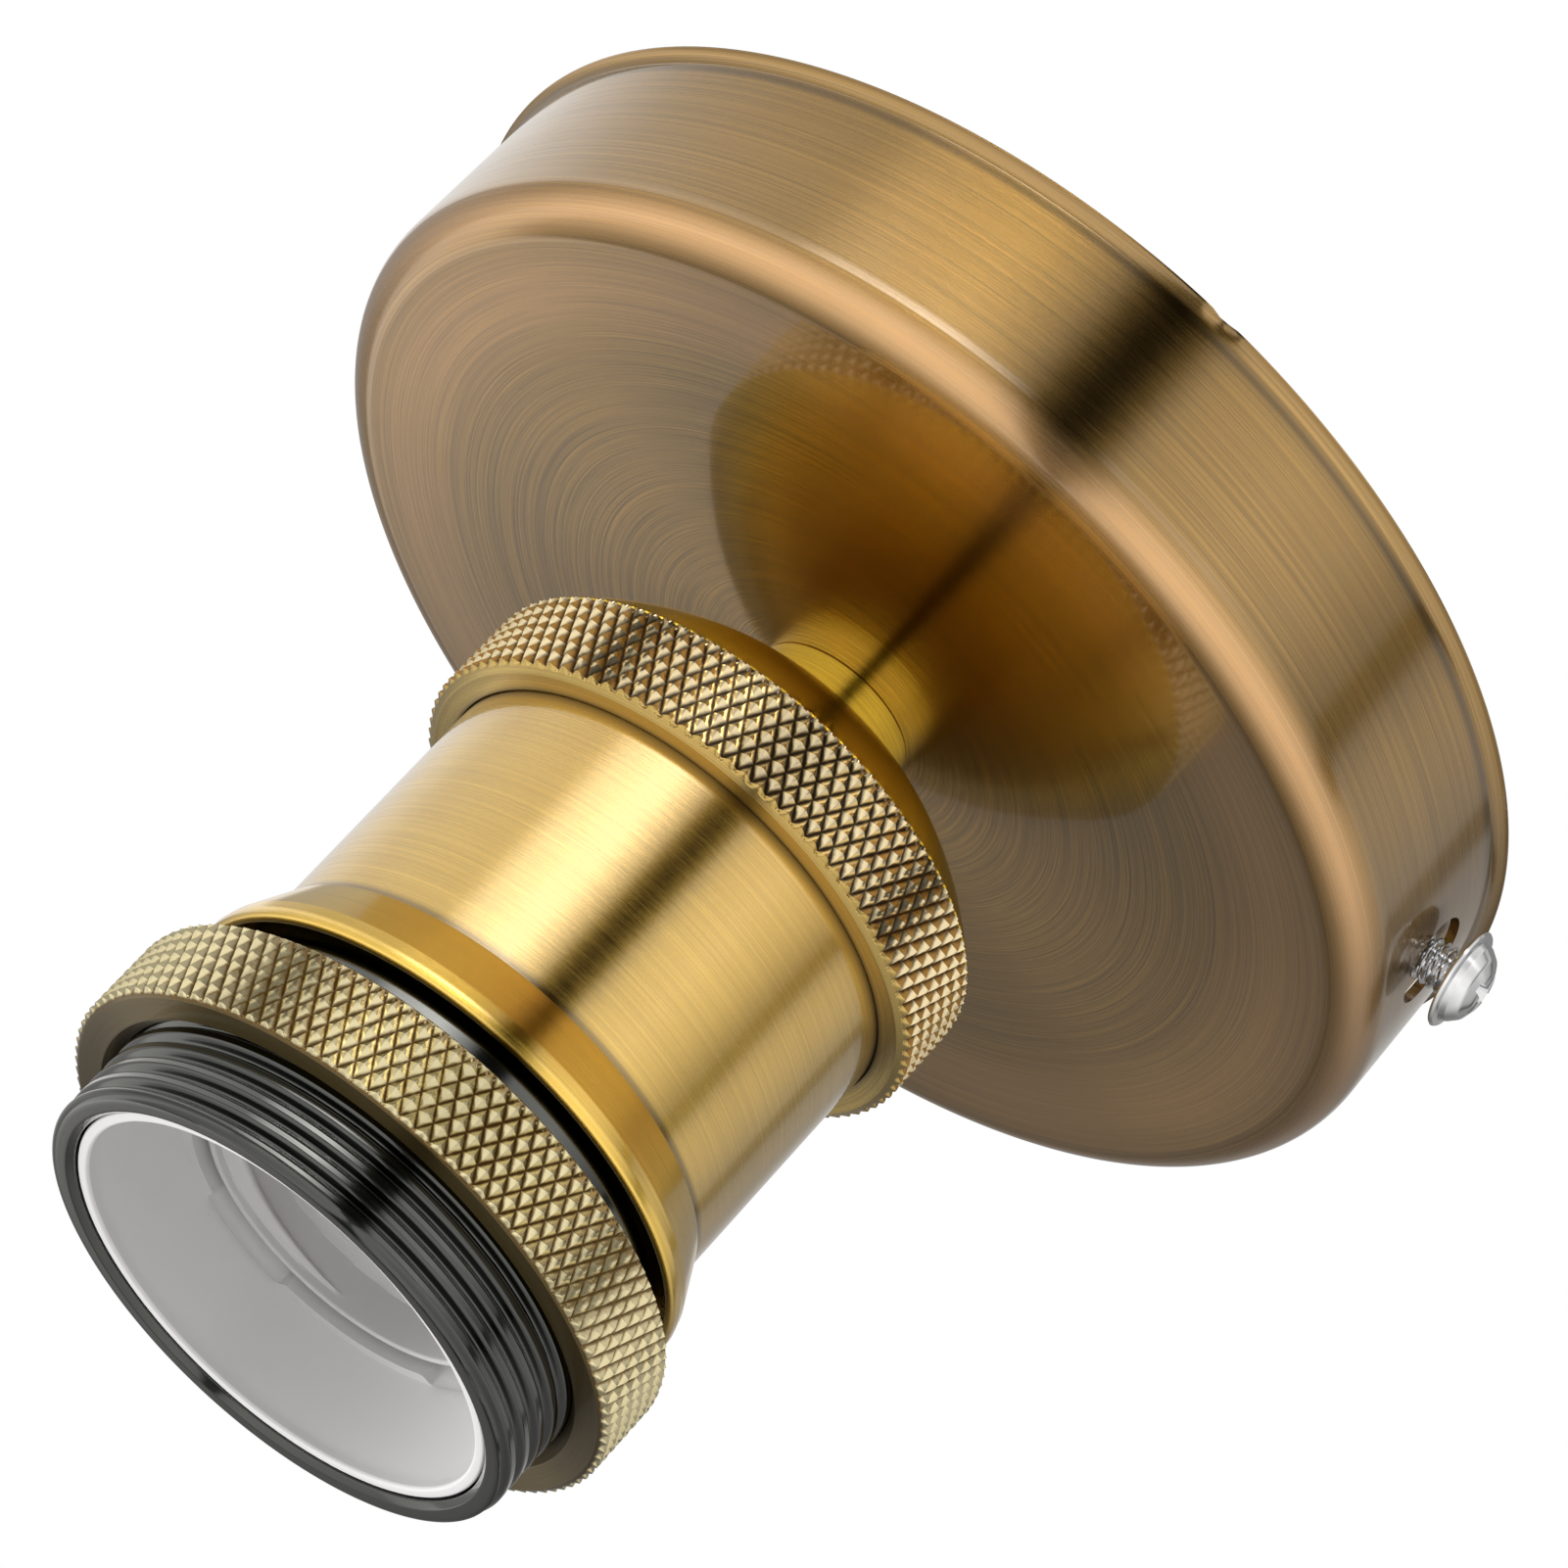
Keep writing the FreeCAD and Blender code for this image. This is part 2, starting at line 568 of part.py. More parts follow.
def build_earth_parts():
    """Earth screw and its cupped washer, head down, in the bracket's tapped hole."""
    turn = FreeCAD.Rotation(Vector(1, 0, 0), 180)
    washer = new_body("earth_washer", -S.bracket_sheet, -S.earth_place, turn)
    lift = S.earth_washer_height - S.washer_sheet
    turned(washer, "cup", [
        (SCREW_THREAD, 0),
        (S.earth_washer_radius - lift, 0),
        (S.earth_washer_radius, lift),
        (S.earth_washer_radius, lift + S.washer_sheet),
        (S.earth_washer_radius - lift, S.washer_sheet),
        (SCREW_THREAD, S.washer_sheet),
    ])
    screw = new_body("earth_screw", -S.bracket_sheet - S.washer_sheet, -S.earth_place, turn)
    pan = S.screw_head_radius - lift
    turned(screw, "screw", [
        (0, -S.earth_screw_length),
        (S.machine_screw_radius, -S.earth_screw_length),
        (S.machine_screw_radius, 0),
        (pan, 0),
        (pan, S.screw_head_edge, S.screw_head_round),
        (S.screw_crown, S.screw_head_height),
        (0, S.screw_head_height),
    ])
    add_cross_recess(screw, S.screw_head_height)


NUT_SEAT = S.canopy_sheet + S.washer_sheet
NIPPLE_TOP = NUT_SEAT + S.nut_height + S.nipple_top_reach
NIPPLE_DROP = S.collar_length + S.cap_wall + S.nut_height + S.nipple_end_reach


def build_nipple():
    """Hollow threaded tube that holds the cap to the canopy and lets the wires through."""
    body = new_body("nipple", FACE_LEVEL)
    chamfer = S.nipple_clearance * 2
    turned(body, "tube", [
        (S.nipple_bore, -NIPPLE_DROP),
        (NIPPLE_RADIUS - chamfer, -NIPPLE_DROP),
        (NIPPLE_RADIUS, chamfer - NIPPLE_DROP),
        (NIPPLE_RADIUS, NIPPLE_TOP - chamfer),
        (NIPPLE_RADIUS - chamfer, NIPPLE_TOP),
        (S.nipple_bore, NIPPLE_TOP),
    ])


def build_nut(name, level):
    """Hexagon nut with chamfered corners, run on the nipple."""
    body = new_body(name, level)
    half = NUT_HALF
    reach = NUT_REACH
    sketch = new_sketch(body, "hexagon", "XY_Plane")
    outline(sketch, [
        (reach, 0), (reach / 2, half), (-reach / 2, half),
        (-reach, 0), (-reach / 2, -half), (reach / 2, -half),
    ])
    round_hole(sketch, 0, 0, NIPPLE_RADIUS + S.thread_clearance)
    padded(body, "blank", sketch, S.nut_height)
    turned(body, "corner_chamfer", [
        (reach - S.nut_chamfer, S.nut_height),
        (reach + S.nut_chamfer, S.nut_height - S.nut_chamfer_drop * 2),
        (reach + S.nut_chamfer, S.nut_height),
    ], "PartDesign::Groove")


def build_lock_washer():
    """Flat washer with outward teeth between the nut and the canopy."""
    body = new_body("lock_washer", FACE_LEVEL + S.canopy_sheet)
    turned(body, "disc", [
        (NIPPLE_HOLE, 0), (LOCK_WASHER_RADIUS, 0),
        (LOCK_WASHER_RADIUS, S.washer_sheet), (NIPPLE_HOLE, S.washer_sheet),
    ])
    gap = new_sketch(body, "tooth_gap", "XY_Plane", lift=S.washer_sheet)
    deep = LOCK_WASHER_RADIUS - S.lock_tooth_depth
    wide = S.lock_notch_width / 2
    box_outline(gap, deep, LOCK_WASHER_RADIUS + S.washer_sheet, -wide, wide)
    notch = pocketed(body, "notch", gap, S.washer_sheet)
    patterned(body, "teeth", notch, 12)


def build_spacer_collar():
    """Plain distance collar between the canopy and the cap."""
    body = new_body("spacer_collar", SEAT_LEVEL)
    turned(body, "collar", [
        (NIPPLE_HOLE, 0), (COLLAR_RADIUS, 0),
        (COLLAR_RADIUS, S.collar_length), (NIPPLE_HOLE, S.collar_length),
    ])


def build_socket_cap():
    """Domed cap: seat for the collar, dome, knurled band and a recess for the shell."""
    body = new_body("socket_cap", CAP_FRONT_LEVEL)
    band_top = S.cap_chamfer_height + S.cap_knurl_length
    thread_end = S.cap_recess + S.sleeve_engagement
    thread_radius = SLEEVE_RADIUS + S.thread_clearance
    seat_edge = COLLAR_RADIUS + S.slip_clearance
    nut_edge = NUT_REACH + S.slip_clearance
    turned(body, "dome_and_band", [
        (NIPPLE_HOLE, S.cap_height - S.cap_wall),
        (nut_edge, S.cap_height - S.cap_wall, -(S.dome_radius - S.cap_wall)),
        (thread_radius - S.cap_wall / 4, thread_end + S.cap_wall / 4),
        (thread_radius, thread_end),
        (thread_radius, S.cap_recess),
        (SHELL_RADIUS + S.thread_clearance, S.cap_recess),
        (SHELL_RADIUS + S.thread_clearance, 0),
        (CAP_FACE, 0),
        (CAP_BAND, S.cap_chamfer_height),
        (CAP_BAND, band_top),
        (CAP_SHOULDER, band_top + S.cap_shoulder_height, S.dome_radius),
        (seat_edge, S.cap_height),
        (NIPPLE_HOLE, S.cap_height),
    ])


def build_outer_shell():
    """Thin tube with a flared skirt and a rolled lip, clamped under the cap."""
    body = new_body("outer_shell", LIP_LEVEL)
    top = S.skirt_height + S.shell_length + S.cap_recess
    lip = SKIRT_WALL / 2
    cone_foot = S.skirt_height - S.skirt_cone_height
    turned(body, "tube_and_skirt", [
        (SKIRT_LIP - SKIRT_WALL, lip, lip * ROUND),
        (SKIRT_LIP, lip),
        (SKIRT_LIP, SKIRT_WALL, S.skirt_lip_round),
        (SKIRT_FOOT, cone_foot),
        (SKIRT_TOP, S.skirt_height),
        (SHELL_RADIUS, S.skirt_height),
        (SHELL_RADIUS, top),
        (SHELL_BORE, top),
        (SHELL_BORE, S.skirt_height),
        (SKIRT_FOOT - SKIRT_WALL, cone_foot),
    ])


def barrel_thread(nose):
    """Corners of the V grooves between the crests, from the nose upwards."""
    half = (S.barrel_pitch - S.barrel_crest_width) / 2
    corners = []
    for turn in range(int(S.barrel_thread_turns.value)):
        middle = nose + S.barrel_pitch * (turn + 0.5)
        corners.append((BARREL_CREST, middle - half))
        corners.append((BARREL_CREST - S.barrel_thread_depth, middle))
        corners.append((BARREL_CREST, middle + half))
    return corners


def build_threaded_barrel():
    """Barrel with the shade thread outside, a plain neck and a rear sleeve that screws
    into the cap. Its shoulder carries the shell's skirt, its inner step the core."""
    body = new_body("threaded_barrel", MOUTH_LEVEL)
    nose = S.barrel_nose
    thread_top = nose + S.barrel_pitch * S.barrel_thread_turns
    seat_foot = SHELL_STEP - S.barrel_waist_step / SKIRT_SLOPE
    neck_edge = S.barrel_bevel
    sleeve_end = CAP_FRONT + S.cap_recess + S.sleeve_engagement
    corners = [
        (BARREL_BORE + S.barrel_bevel, 0),
        (BARREL_CREST - nose, 0, nose * ROUND),
        (BARREL_CREST, nose),
    ]
    corners += barrel_thread(nose)
    corners += [
        (BARREL_CREST, thread_top),
        (BARREL_NECK, thread_top + BARREL_CREST - BARREL_NECK),
        (BARREL_NECK, S.barrel_neck_end - neck_edge, neck_edge * ROUND),
        (BARREL_NECK - neck_edge, S.barrel_neck_end),
        (BARREL_WAIST, S.barrel_neck_end),
        (BARREL_WAIST, seat_foot),
        (SLEEVE_RADIUS, SHELL_STEP),
        (SLEEVE_RADIUS, sleeve_end),
        (SLEEVE_BORE, sleeve_end),
        (SLEEVE_BORE, CORE_SEAT),
        (BARREL_BORE, CORE_SEAT),
        (BARREL_BORE, S.barrel_bevel),
    ]
    turned(body, "barrel", corners)


def build_shade_ring():
    """Knurled ring that runs on the barrel thread and clamps a shade under the skirt."""
    body = new_body("shade_ring", MOUTH_LEVEL + S.ring_setback)
    bore = BARREL_CREST + S.thread_clearance
    turned(body, "ring", [
        (bore, S.ring_countersink),
        (bore + S.ring_countersink, 0),
        (RING_FACE, 0),
        (RING_RADIUS, S.ring_chamfer_height),
        (RING_RADIUS, S.ring_length - S.ring_chamfer_height),
        (RING_FACE, S.ring_length),
        (bore, S.ring_length),
    ])


def build_liner():
    """Insulating funnel in the barrel's mouth, clipped on the core's boss."""
    body = new_body("liner", MOUTH_LEVEL + S.liner_setback)
    edge = S.liner_wall / 2
    throat = LINER_THROAT + S.liner_wall
    funnel = S.liner_funnel
    turned(body, "funnel", [
        (LINER_RADIUS - S.liner_wall, edge, edge * ROUND),
        (LINER_RADIUS, edge),
        (LINER_RADIUS, S.liner_wall * 1.5),
        (throat, funnel),
        (throat, funnel + S.liner_collar),
        (LINER_THROAT, funnel + S.liner_collar),
        (LINER_THROAT, funnel),
    ])
    add_liner_lands(body)


def add_liner_lands(body):
    """Four lands that fill the foot of the funnel up to just ahead of the core's lip."""
    front = S.core_lip_setback - S.land_rise - S.liner_setback
    edge = S.liner_wall / 2
    lean = (LINER_RADIUS - S.liner_wall - LINER_THROAT) / (S.liner_funnel - edge)
    middle = LINER_THROAT + edge
    sketch = new_sketch(body, "land_section", turn=S.land_turn)
    outline(sketch, [
        (LINER_THROAT, front),
        (middle + lean * (S.liner_funnel - front), front),
        (middle, S.liner_funnel),
        (LINER_THROAT, S.liner_funnel),
    ])
    land = body.newObject("PartDesign::Revolution", "land")
    land.Profile = sketch
    land.ReferenceAxis = (sketch, ["V_Axis"])
    land.Angle = S.land_sweep.value
    bind(land, "Angle", S.land_sweep)
    body.Tip = land
    document.recompute()
    patterned(body, "lands", land, 4)


def build_socket_core():
    """Moulded core: lip, boss and flange, lamp bore with its helical thread ridge,
    pockets for the terminal blocks and holes for the rivets."""
    body = new_body("socket_core", MOUTH_LEVEL)
    lip_radius = S.core_bore + S.core_lip_wall
    boss_radius = LINER_THROAT - S.thread_clearance
    flange_radius = BARREL_BORE - S.core_clearance
    edge = S.core_lip_wall / 2
    boss_base = CORE_FLANGE_BASE - S.core_boss_height
    turned(body, "moulding", [
        (S.core_bore, S.core_lip_setback + edge, edge * ROUND),
        (lip_radius, S.core_lip_setback + edge),
        (lip_radius, boss_base),
        (boss_radius, boss_base),
        (boss_radius, CORE_FLANGE_BASE),
        (flange_radius, CORE_FLANGE_BASE),
        (flange_radius, CORE_SEAT),
        (CORE_RADIUS, CORE_SEAT),
        (CORE_RADIUS, CORE_BACK - S.core_lip_wall),
        (CORE_RADIUS - S.core_lip_wall, CORE_BACK),
        (0, CORE_BACK),
        (0, CORE_FLOOR_FACE),
        (S.core_bore, CORE_FLOOR_FACE),
    ])
    add_lamp_thread(body)
    add_core_pockets(body)


def add_lamp_thread(body):
    """Rounded ridge of the lamp thread, swept along a right-hand helix up the bore."""
    sketch = new_sketch(body, "ridge_section", turn=S.lamp_thread_turn)
    foot = S.core_lip_setback + S.lamp_thread_setback
    inset = (S.lamp_ridge_foot - S.lamp_ridge_crest) / 2
    crest = S.core_bore - S.lamp_ridge_height
    root_radius = S.core_bore + S.core_lip_wall / 2
    outline(sketch, [
        (root_radius, foot),
        (crest, foot + inset),
        (crest, foot + inset + S.lamp_ridge_crest),
        (root_radius, foot + S.lamp_ridge_foot),
    ])
    helix = body.newObject("PartDesign::AdditiveHelix", "lamp_thread")
    helix.Profile = sketch
    helix.ReferenceAxis = (sketch, ["V_Axis"])
    helix.Mode = "pitch-turns-angle"
    helix.Pitch = S.lamp_pitch.value
    helix.Turns = S.lamp_turns.value
    bind(helix, "Pitch", S.lamp_pitch)
    bind(helix, "Turns", S.lamp_turns)
    body.Tip = helix
    document.recompute()


def add_core_pockets(body):
    """Slot for the side contact, pockets for the terminal blocks, and rivet holes."""
    slot = new_sketch(body, "side_slot_outline", "XY_Plane", lift=CORE_FLOOR_FACE)
    half = S.contact_width / 2 + S.contact_gap
    outer = SIDE_CONTACT + S.contact_sheet + S.contact_gap * 4
    box_outline(slot, SIDE_RIVET, outer, -half, half)
    pocketed(body, "side_slot", slot, S.side_contact_length + S.contact_gap * 4)
    seats = new_sketch(body, "terminal_seats_outline", "XY_Plane", lift=CORE_BACK)
    half_width = S.terminal_width / 2 + S.slip_clearance
    half_length = S.terminal_length / 2 + S.slip_clearance
    for side in (-1, 1):
        middle = TERMINAL_PLACE * side
        box_outline(seats, middle - half_width, middle + half_width, -half_length, half_length)
    pocketed(body, "terminal_seats", seats, S.terminal_pocket)
    holes = new_sketch(body, "rivet_holes_outline", "XY_Plane", lift=CORE_BACK)
    round_hole(holes, -CENTRE_RIVET, 0, S.rivet_radius + S.thread_clearance)
    round_hole(holes, SIDE_RIVET, 0, S.rivet_radius + S.thread_clearance)
    pocketed(body, "rivet_holes", holes, S.core_floor + S.core_lip_wall)


# Underside of a contact's root, above the mouth
CONTACT_BASE = CORE_FLOOR_FACE - S.contact_gap - S.contact_sheet


def build_centre_contact():
    """Leaf spring on the bore's floor, bowed down to meet the lamp's centre contact."""
    body = new_body("centre_contact", MOUTH_LEVEL + CONTACT_BASE)
    sheet_up = S.contact_sheet
    drop = -S.contact_drop
    rivet = -CENTRE_RIVET
    crown = S.contact_crown
    tail = crown + S.contact_root
    tail_drop = drop + S.contact_root * 0.6
    profile = new_sketch(body, "leaf_profile")
    outline(profile, [
        (rivet - S.contact_root, 0),
        (rivet + S.contact_root, 0),
        (-crown, drop),
        (crown, drop),
        (tail, tail_drop),
        (tail, tail_drop + sheet_up),
        (crown - sheet_up / 3, drop + sheet_up),
        (sheet_up / 3 - crown, drop + sheet_up),
        (rivet + S.contact_root + sheet_up / 3, sheet_up),
        (rivet - S.contact_root, sheet_up),
    ])
    padded(body, "leaf", profile, S.contact_width, both_ways=True)
    hole = new_sketch(body, "rivet_hole_outline", "XY_Plane")
    round_hole(hole, rivet, 0, S.rivet_radius + S.contact_gap)
    pocketed(body, "rivet_hole", hole)


def build_side_contact():
    """Angled tongue in the bore wall's slot, bowed inwards to touch the lamp's shell."""
    body = new_body("side_contact", MOUTH_LEVEL + CONTACT_BASE)
    sheet_up = S.contact_sheet
    rivet = SIDE_RIVET
    face = SIDE_CONTACT
    bow = face - S.side_contact_bow
    tip = sheet_up - S.side_contact_length
    middle = tip * 0.6
    profile = new_sketch(body, "tongue_profile")
    outline(profile, [
        (rivet - S.contact_root, 0),
        (face, 0),
        (bow, middle),
        (face, tip),
        (face + sheet_up, tip),
        (bow + sheet_up, middle),
        (face + sheet_up, sheet_up),
        (rivet - S.contact_root, sheet_up),
    ])
    padded(body, "tongue", profile, S.contact_width, both_ways=True)
    hole = new_sketch(body, "rivet_hole_outline", "XY_Plane")
    round_hole(hole, rivet, 0, S.rivet_radius + S.contact_gap)
    pocketed(body, "rivet_hole", hole)


def build_contact_rivets():
    """Two rivets that hold the contacts' roots and meet the terminal blocks."""
    body = new_body("contact_rivets", MOUTH_LEVEL + CORE_BACK - S.terminal_pocket)
    head_face = CONTACT_BASE - S.contact_gap - CORE_BACK + S.terminal_pocket
    for place, name in ((-CENTRE_RIVET, "centre"), (SIDE_RIVET, "side")):
        shank = new_sketch(body, name + "_shank_outline", "XY_Plane", lift=head_face)
        round_hole(shank, place, 0, S.rivet_radius)
        padded(body, name + "_shank", shank, -head_face)
        head = new_sketch(body, name + "_head_outline", "XY_Plane",
                          lift=head_face - S.rivet_head_height)
        round_hole(head, place, 0, S.rivet_head_radius)
        padded(body, name + "_head", head, S.rivet_head_height)


def build_terminal(name, side):
    """Terminal block with a wire hole across and a threaded hole from its top."""
    body = new_body(name, MOUTH_LEVEL + CORE_BACK - S.terminal_pocket, TERMINAL_PLACE * side)
    foot = new_sketch(body, "foot", "XY_Plane")
    half_width = S.terminal_width / 2
    half_length = S.terminal_length / 2
    box_outline(foot, -half_width, half_width, -half_length, half_length)
    padded(body, "block", foot, S.terminal_height)
    entry = new_sketch(body, "wire_entry_outline", "XZ_Plane")
    round_hole(entry, 0, S.wire_entry_height, S.wire_entry_radius)
    pocketed(body, "wire_entry", entry)
    screw = new_sketch(body, "screw_hole_outline", "XY_Plane", lift=S.terminal_height)
    round_hole(screw, 0, 0, S.clamp_screw_radius + S.thread_clearance)
    pocketed(body, "screw_hole", screw, S.terminal_height - S.wire_entry_height)


def build_terminal_screw(name, side):
    """Slotted cheese-head screw that clamps the wire in its block."""
    level = MOUTH_LEVEL + CORE_BACK - S.terminal_pocket + S.terminal_height
    body = new_body(name, level + S.clamp_screw_standoff, TERMINAL_PLACE * side)
    reach = S.clamp_screw_standoff + S.clamp_screw_reach
    edge = S.clamp_head_bevel
    turned(body, "screw", [
        (0, -reach),
        (S.clamp_screw_radius, -reach),
        (S.clamp_screw_radius, 0),
        (S.clamp_head_radius, 0),
        (S.clamp_head_radius, S.clamp_head_height - edge),
        (S.clamp_head_radius - edge, S.clamp_head_height),
        (0, S.clamp_head_height),
    ])
    slot = new_sketch(body, "driver_slot_outline", "XY_Plane", lift=S.clamp_head_height)
    half = S.driver_slot / 2
    reach_out = S.clamp_head_radius + half
    box_outline(slot, -half, half, -reach_out, reach_out)
    pocketed(body, "driver_slot", slot, S.clamp_head_height / 2)


def check_document():
    """Stop where a feature failed or a piece has no valid solid."""
    document.recompute()
    for item in document.Objects:
        for word in ("Invalid", "Error"):
            if word in item.State:
                raise RuntimeError("%s of %s is %s" % (item.Name, item.Label, word))
    bodies = [item for item in document.Objects if item.TypeId == "PartDesign::Body"]
    for body in bodies:
        if body.Shape.isNull() or not body.Shape.isValid() or not body.Shape.Solids:
            raise RuntimeError("%s has no valid solid" % body.Label)
    return bodies


def write_pieces(bodies):
    """Write each piece to its own file, named after it."""
    os.makedirs("parts", exist_ok=True)
    for body in bodies:
        body.Shape.exportStep(os.path.join("parts", body.Label + ".step"))
        print("%-18s %2d solids %9.1f mm3" % (body.Label, len(body.Shape.Solids), body.Shape.Volume))


build_canopy()
build_ceiling_bracket()
build_side_screw("canopy_screw_right", 1, S.side_screw_standoff)
build_side_screw("canopy_screw_left", -1, S.side_screw_seat_gap)
build_earth_parts()
build_nipple()
build_nut("nipple_nut", FACE_LEVEL + NUT_SEAT)
build_nut("cap_nut", SEAT_LEVEL - S.cap_wall - S.nut_height)
build_lock_washer()
build_spacer_collar()
build_socket_cap()
build_outer_shell()
build_threaded_barrel()
build_shade_ring()
build_liner()
build_socket_core()
build_centre_contact()
build_side_contact()
build_contact_rivets()
build_terminal("live_terminal", -1)
build_terminal("neutral_terminal", 1)
build_terminal_screw("live_screw", -1)
build_terminal_screw("neutral_screw", 1)
write_pieces(check_document())
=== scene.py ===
"""Ceiling lamp holder: brushed antique brass canopy, domed and knurled cap, flared shell,
black threaded barrel with a knurled shade ring, and a white liner and core inside.

Round pieces are outlines carried round the Z axis on a grid of angles and outline points.
Outlines and levels are in millimetres below, and the meshes are in metres.
"""
import json
import math

import bpy
import numpy as np
from mathutils import Matrix, Vector


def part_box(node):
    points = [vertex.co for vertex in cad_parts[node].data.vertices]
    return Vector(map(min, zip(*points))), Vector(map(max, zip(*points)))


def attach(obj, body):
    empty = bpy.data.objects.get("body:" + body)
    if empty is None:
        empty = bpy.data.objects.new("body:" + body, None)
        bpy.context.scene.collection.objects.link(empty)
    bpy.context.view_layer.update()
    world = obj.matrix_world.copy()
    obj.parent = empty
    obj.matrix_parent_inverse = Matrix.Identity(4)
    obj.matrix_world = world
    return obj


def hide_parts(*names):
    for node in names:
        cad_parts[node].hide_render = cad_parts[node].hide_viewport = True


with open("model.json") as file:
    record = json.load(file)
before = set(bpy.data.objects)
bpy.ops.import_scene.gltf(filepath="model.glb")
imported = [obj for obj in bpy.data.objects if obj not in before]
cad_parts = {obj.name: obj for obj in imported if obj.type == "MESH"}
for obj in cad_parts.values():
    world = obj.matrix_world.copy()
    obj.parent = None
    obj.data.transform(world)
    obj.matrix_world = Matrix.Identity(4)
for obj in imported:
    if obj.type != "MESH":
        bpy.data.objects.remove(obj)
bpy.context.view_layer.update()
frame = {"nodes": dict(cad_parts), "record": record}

bl_info = {
    "name": "Ceiling Lamp Holder",
    "version": (1, 0, 0),
    "blender": (4, 5, 0),
    "location": "View3D > Sidebar > Lamp Holder",
    "description": "Builds a ceiling lamp holder round its CAD frame",
    "category": "Add Mesh",
}

MM = 0.001
TAU = 2 * math.pi

# Degrees past which an edge stays sharp, and steps of the grid over one knurl diamond
SHARP = 28.0
STEPS_PER_CELL = 10


def low_and_high(name):
    """Lowest and highest level of a CAD node, in millimetres."""
    low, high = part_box(name)
    return low.z / MM, high.z / MM


def reach(name):
    """Outer radius of a round CAD node, in millimetres."""
    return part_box(name)[1].x / MM


# Levels and radii that several pieces share
MOUTH = low_and_high("threaded_barrel")[0]
CANOPY_FACE = low_and_high("canopy")[0]
RING_LOW, RING_HIGH = low_and_high("shade_ring")
SHELL_LIP = low_and_high("outer_shell")[0]
CAP_FRONT, CAP_SEAT = low_and_high("socket_cap")
LINER_LOW = low_and_high("liner")[0]
SHELL_RADIUS = 20.5
TUBE_HOLE = 5.15


def count(name, text, number):
    """A number of cells in the panel."""
    return bpy.props.IntProperty(name=name, description=text, default=number, min=12)


def length(name, text, size):
    """A size in the panel, with its default in millimetres."""
    return bpy.props.FloatProperty(name=name, description=text, default=size * MM,
                                   unit="LENGTH", subtype="DISTANCE", precision=5)


def tint(name, text, value):
    """A colour in the panel."""
    return bpy.props.FloatVectorProperty(name=name, description=text, default=value,
                                         subtype="COLOR", min=0, max=1)


class HolderSizes(bpy.types.PropertyGroup):
    """Sizes of the details that the CAD leaves plain."""

    ring_cells: count("Ring knurl cells", "Diamonds round the shade ring", 108)
    cap_cells: count("Cap knurl cells", "Diamonds round the cap's band", 100)
    knurl_height: length("Diamond height", "Height of one knurl diamond along the axis", 2.53)
    knurl_depth: length("Knurl depth", "Depth of the knurl's grooves", 0.52)
    thread_pitch: length("Shade thread pitch", "Pitch of the thread on the barrel", 1.65)
    thread_depth: length("Shade thread depth", "Depth of the thread on the barrel", 0.62)
    screw_pitch: length("Screw pitch", "Pitch of the canopy screws", 0.7)


class HolderColours(bpy.types.PropertyGroup):
    """Colours of the finishes."""

    brass: tint("Brass", "Brushed brass of the shell", (0.80, 0.53, 0.12))
    gold: tint("Golden brass", "Golden brass of the skirt", (1.0, 0.66, 0.11))
    deep_gold: tint("Deep gold", "Deep gold of the dome and collar", (1.0, 0.76, 0.07))
    aged: tint("Aged brass", "Aged brass of the cap's front", (0.64, 0.45, 0.13))
    olive: tint("Olive brass", "Dull faces of the shade ring", (0.20, 0.15, 0.06))
    cream: tint("Cream", "Rubbed points of the cap's knurl", (0.74, 0.61, 0.36))
    pale: tint("Pale brass", "Rubbed points of the ring's knurl", (0.66, 0.58, 0.34))
    patina: tint("Patina", "Brown patina left in the brushing", (0.34, 0.20, 0.04))
    # This dark tone is patina in the brushing, and it also paints shade in the knurls' grooves
    # and in rings at corners and under the canopy's rim.
    dark: tint("Dark patina", "Darkest patina, in grooves and along edges", (0.09, 0.06, 0.025))
    canopy_brass: tint("Canopy brass", "Browner brass of the canopy", (0.46, 0.27, 0.07))
    copper: tint("Rubbed copper", "Tone where the canopy's corner is rubbed", (0.95, 0.54, 0.25))
    black: tint("Black nickel", "Black finish of the barrel", (0.022, 0.025, 0.021))
    white: tint("White", "Moulded white of the liner and core", (0.67, 0.66, 0.66))
    zinc: tint("Zinc", "Plating of screws, nuts and bracket", (0.80, 0.81, 0.83))
    bare_brass: tint("Bare brass", "Contacts, terminals and earth screw", (0.78, 0.58, 0.28))


# Shapes


def surface(name, points, faces, sharp=SHARP):
    """Makes a mesh object from an array of points in millimetres and a list of arrays of
    faces, smooth except along edges that turn by more than sharp degrees."""
    mesh = bpy.data.meshes.new(name)
    listed = [row for block in faces for row in block.tolist()]
    mesh.from_pydata((points * MM).tolist(), [], listed)
    mesh.validate()
    mesh.shade_smooth()
    mesh.set_sharp_from_angle(angle=math.radians(sharp))
    piece = bpy.data.objects.new(name, mesh)
    bpy.context.scene.collection.objects.link(piece)
    return piece


def bend(centre, radius, start, end, steps=8):
    """Points on an arc: centre + radius (cos a, sin a), with a from start to end degrees."""
    angles = np.radians(np.linspace(start, end, steps + 1))
    return np.column_stack([centre[0] + radius * np.cos(angles),
                            centre[1] + radius * np.sin(angles)])


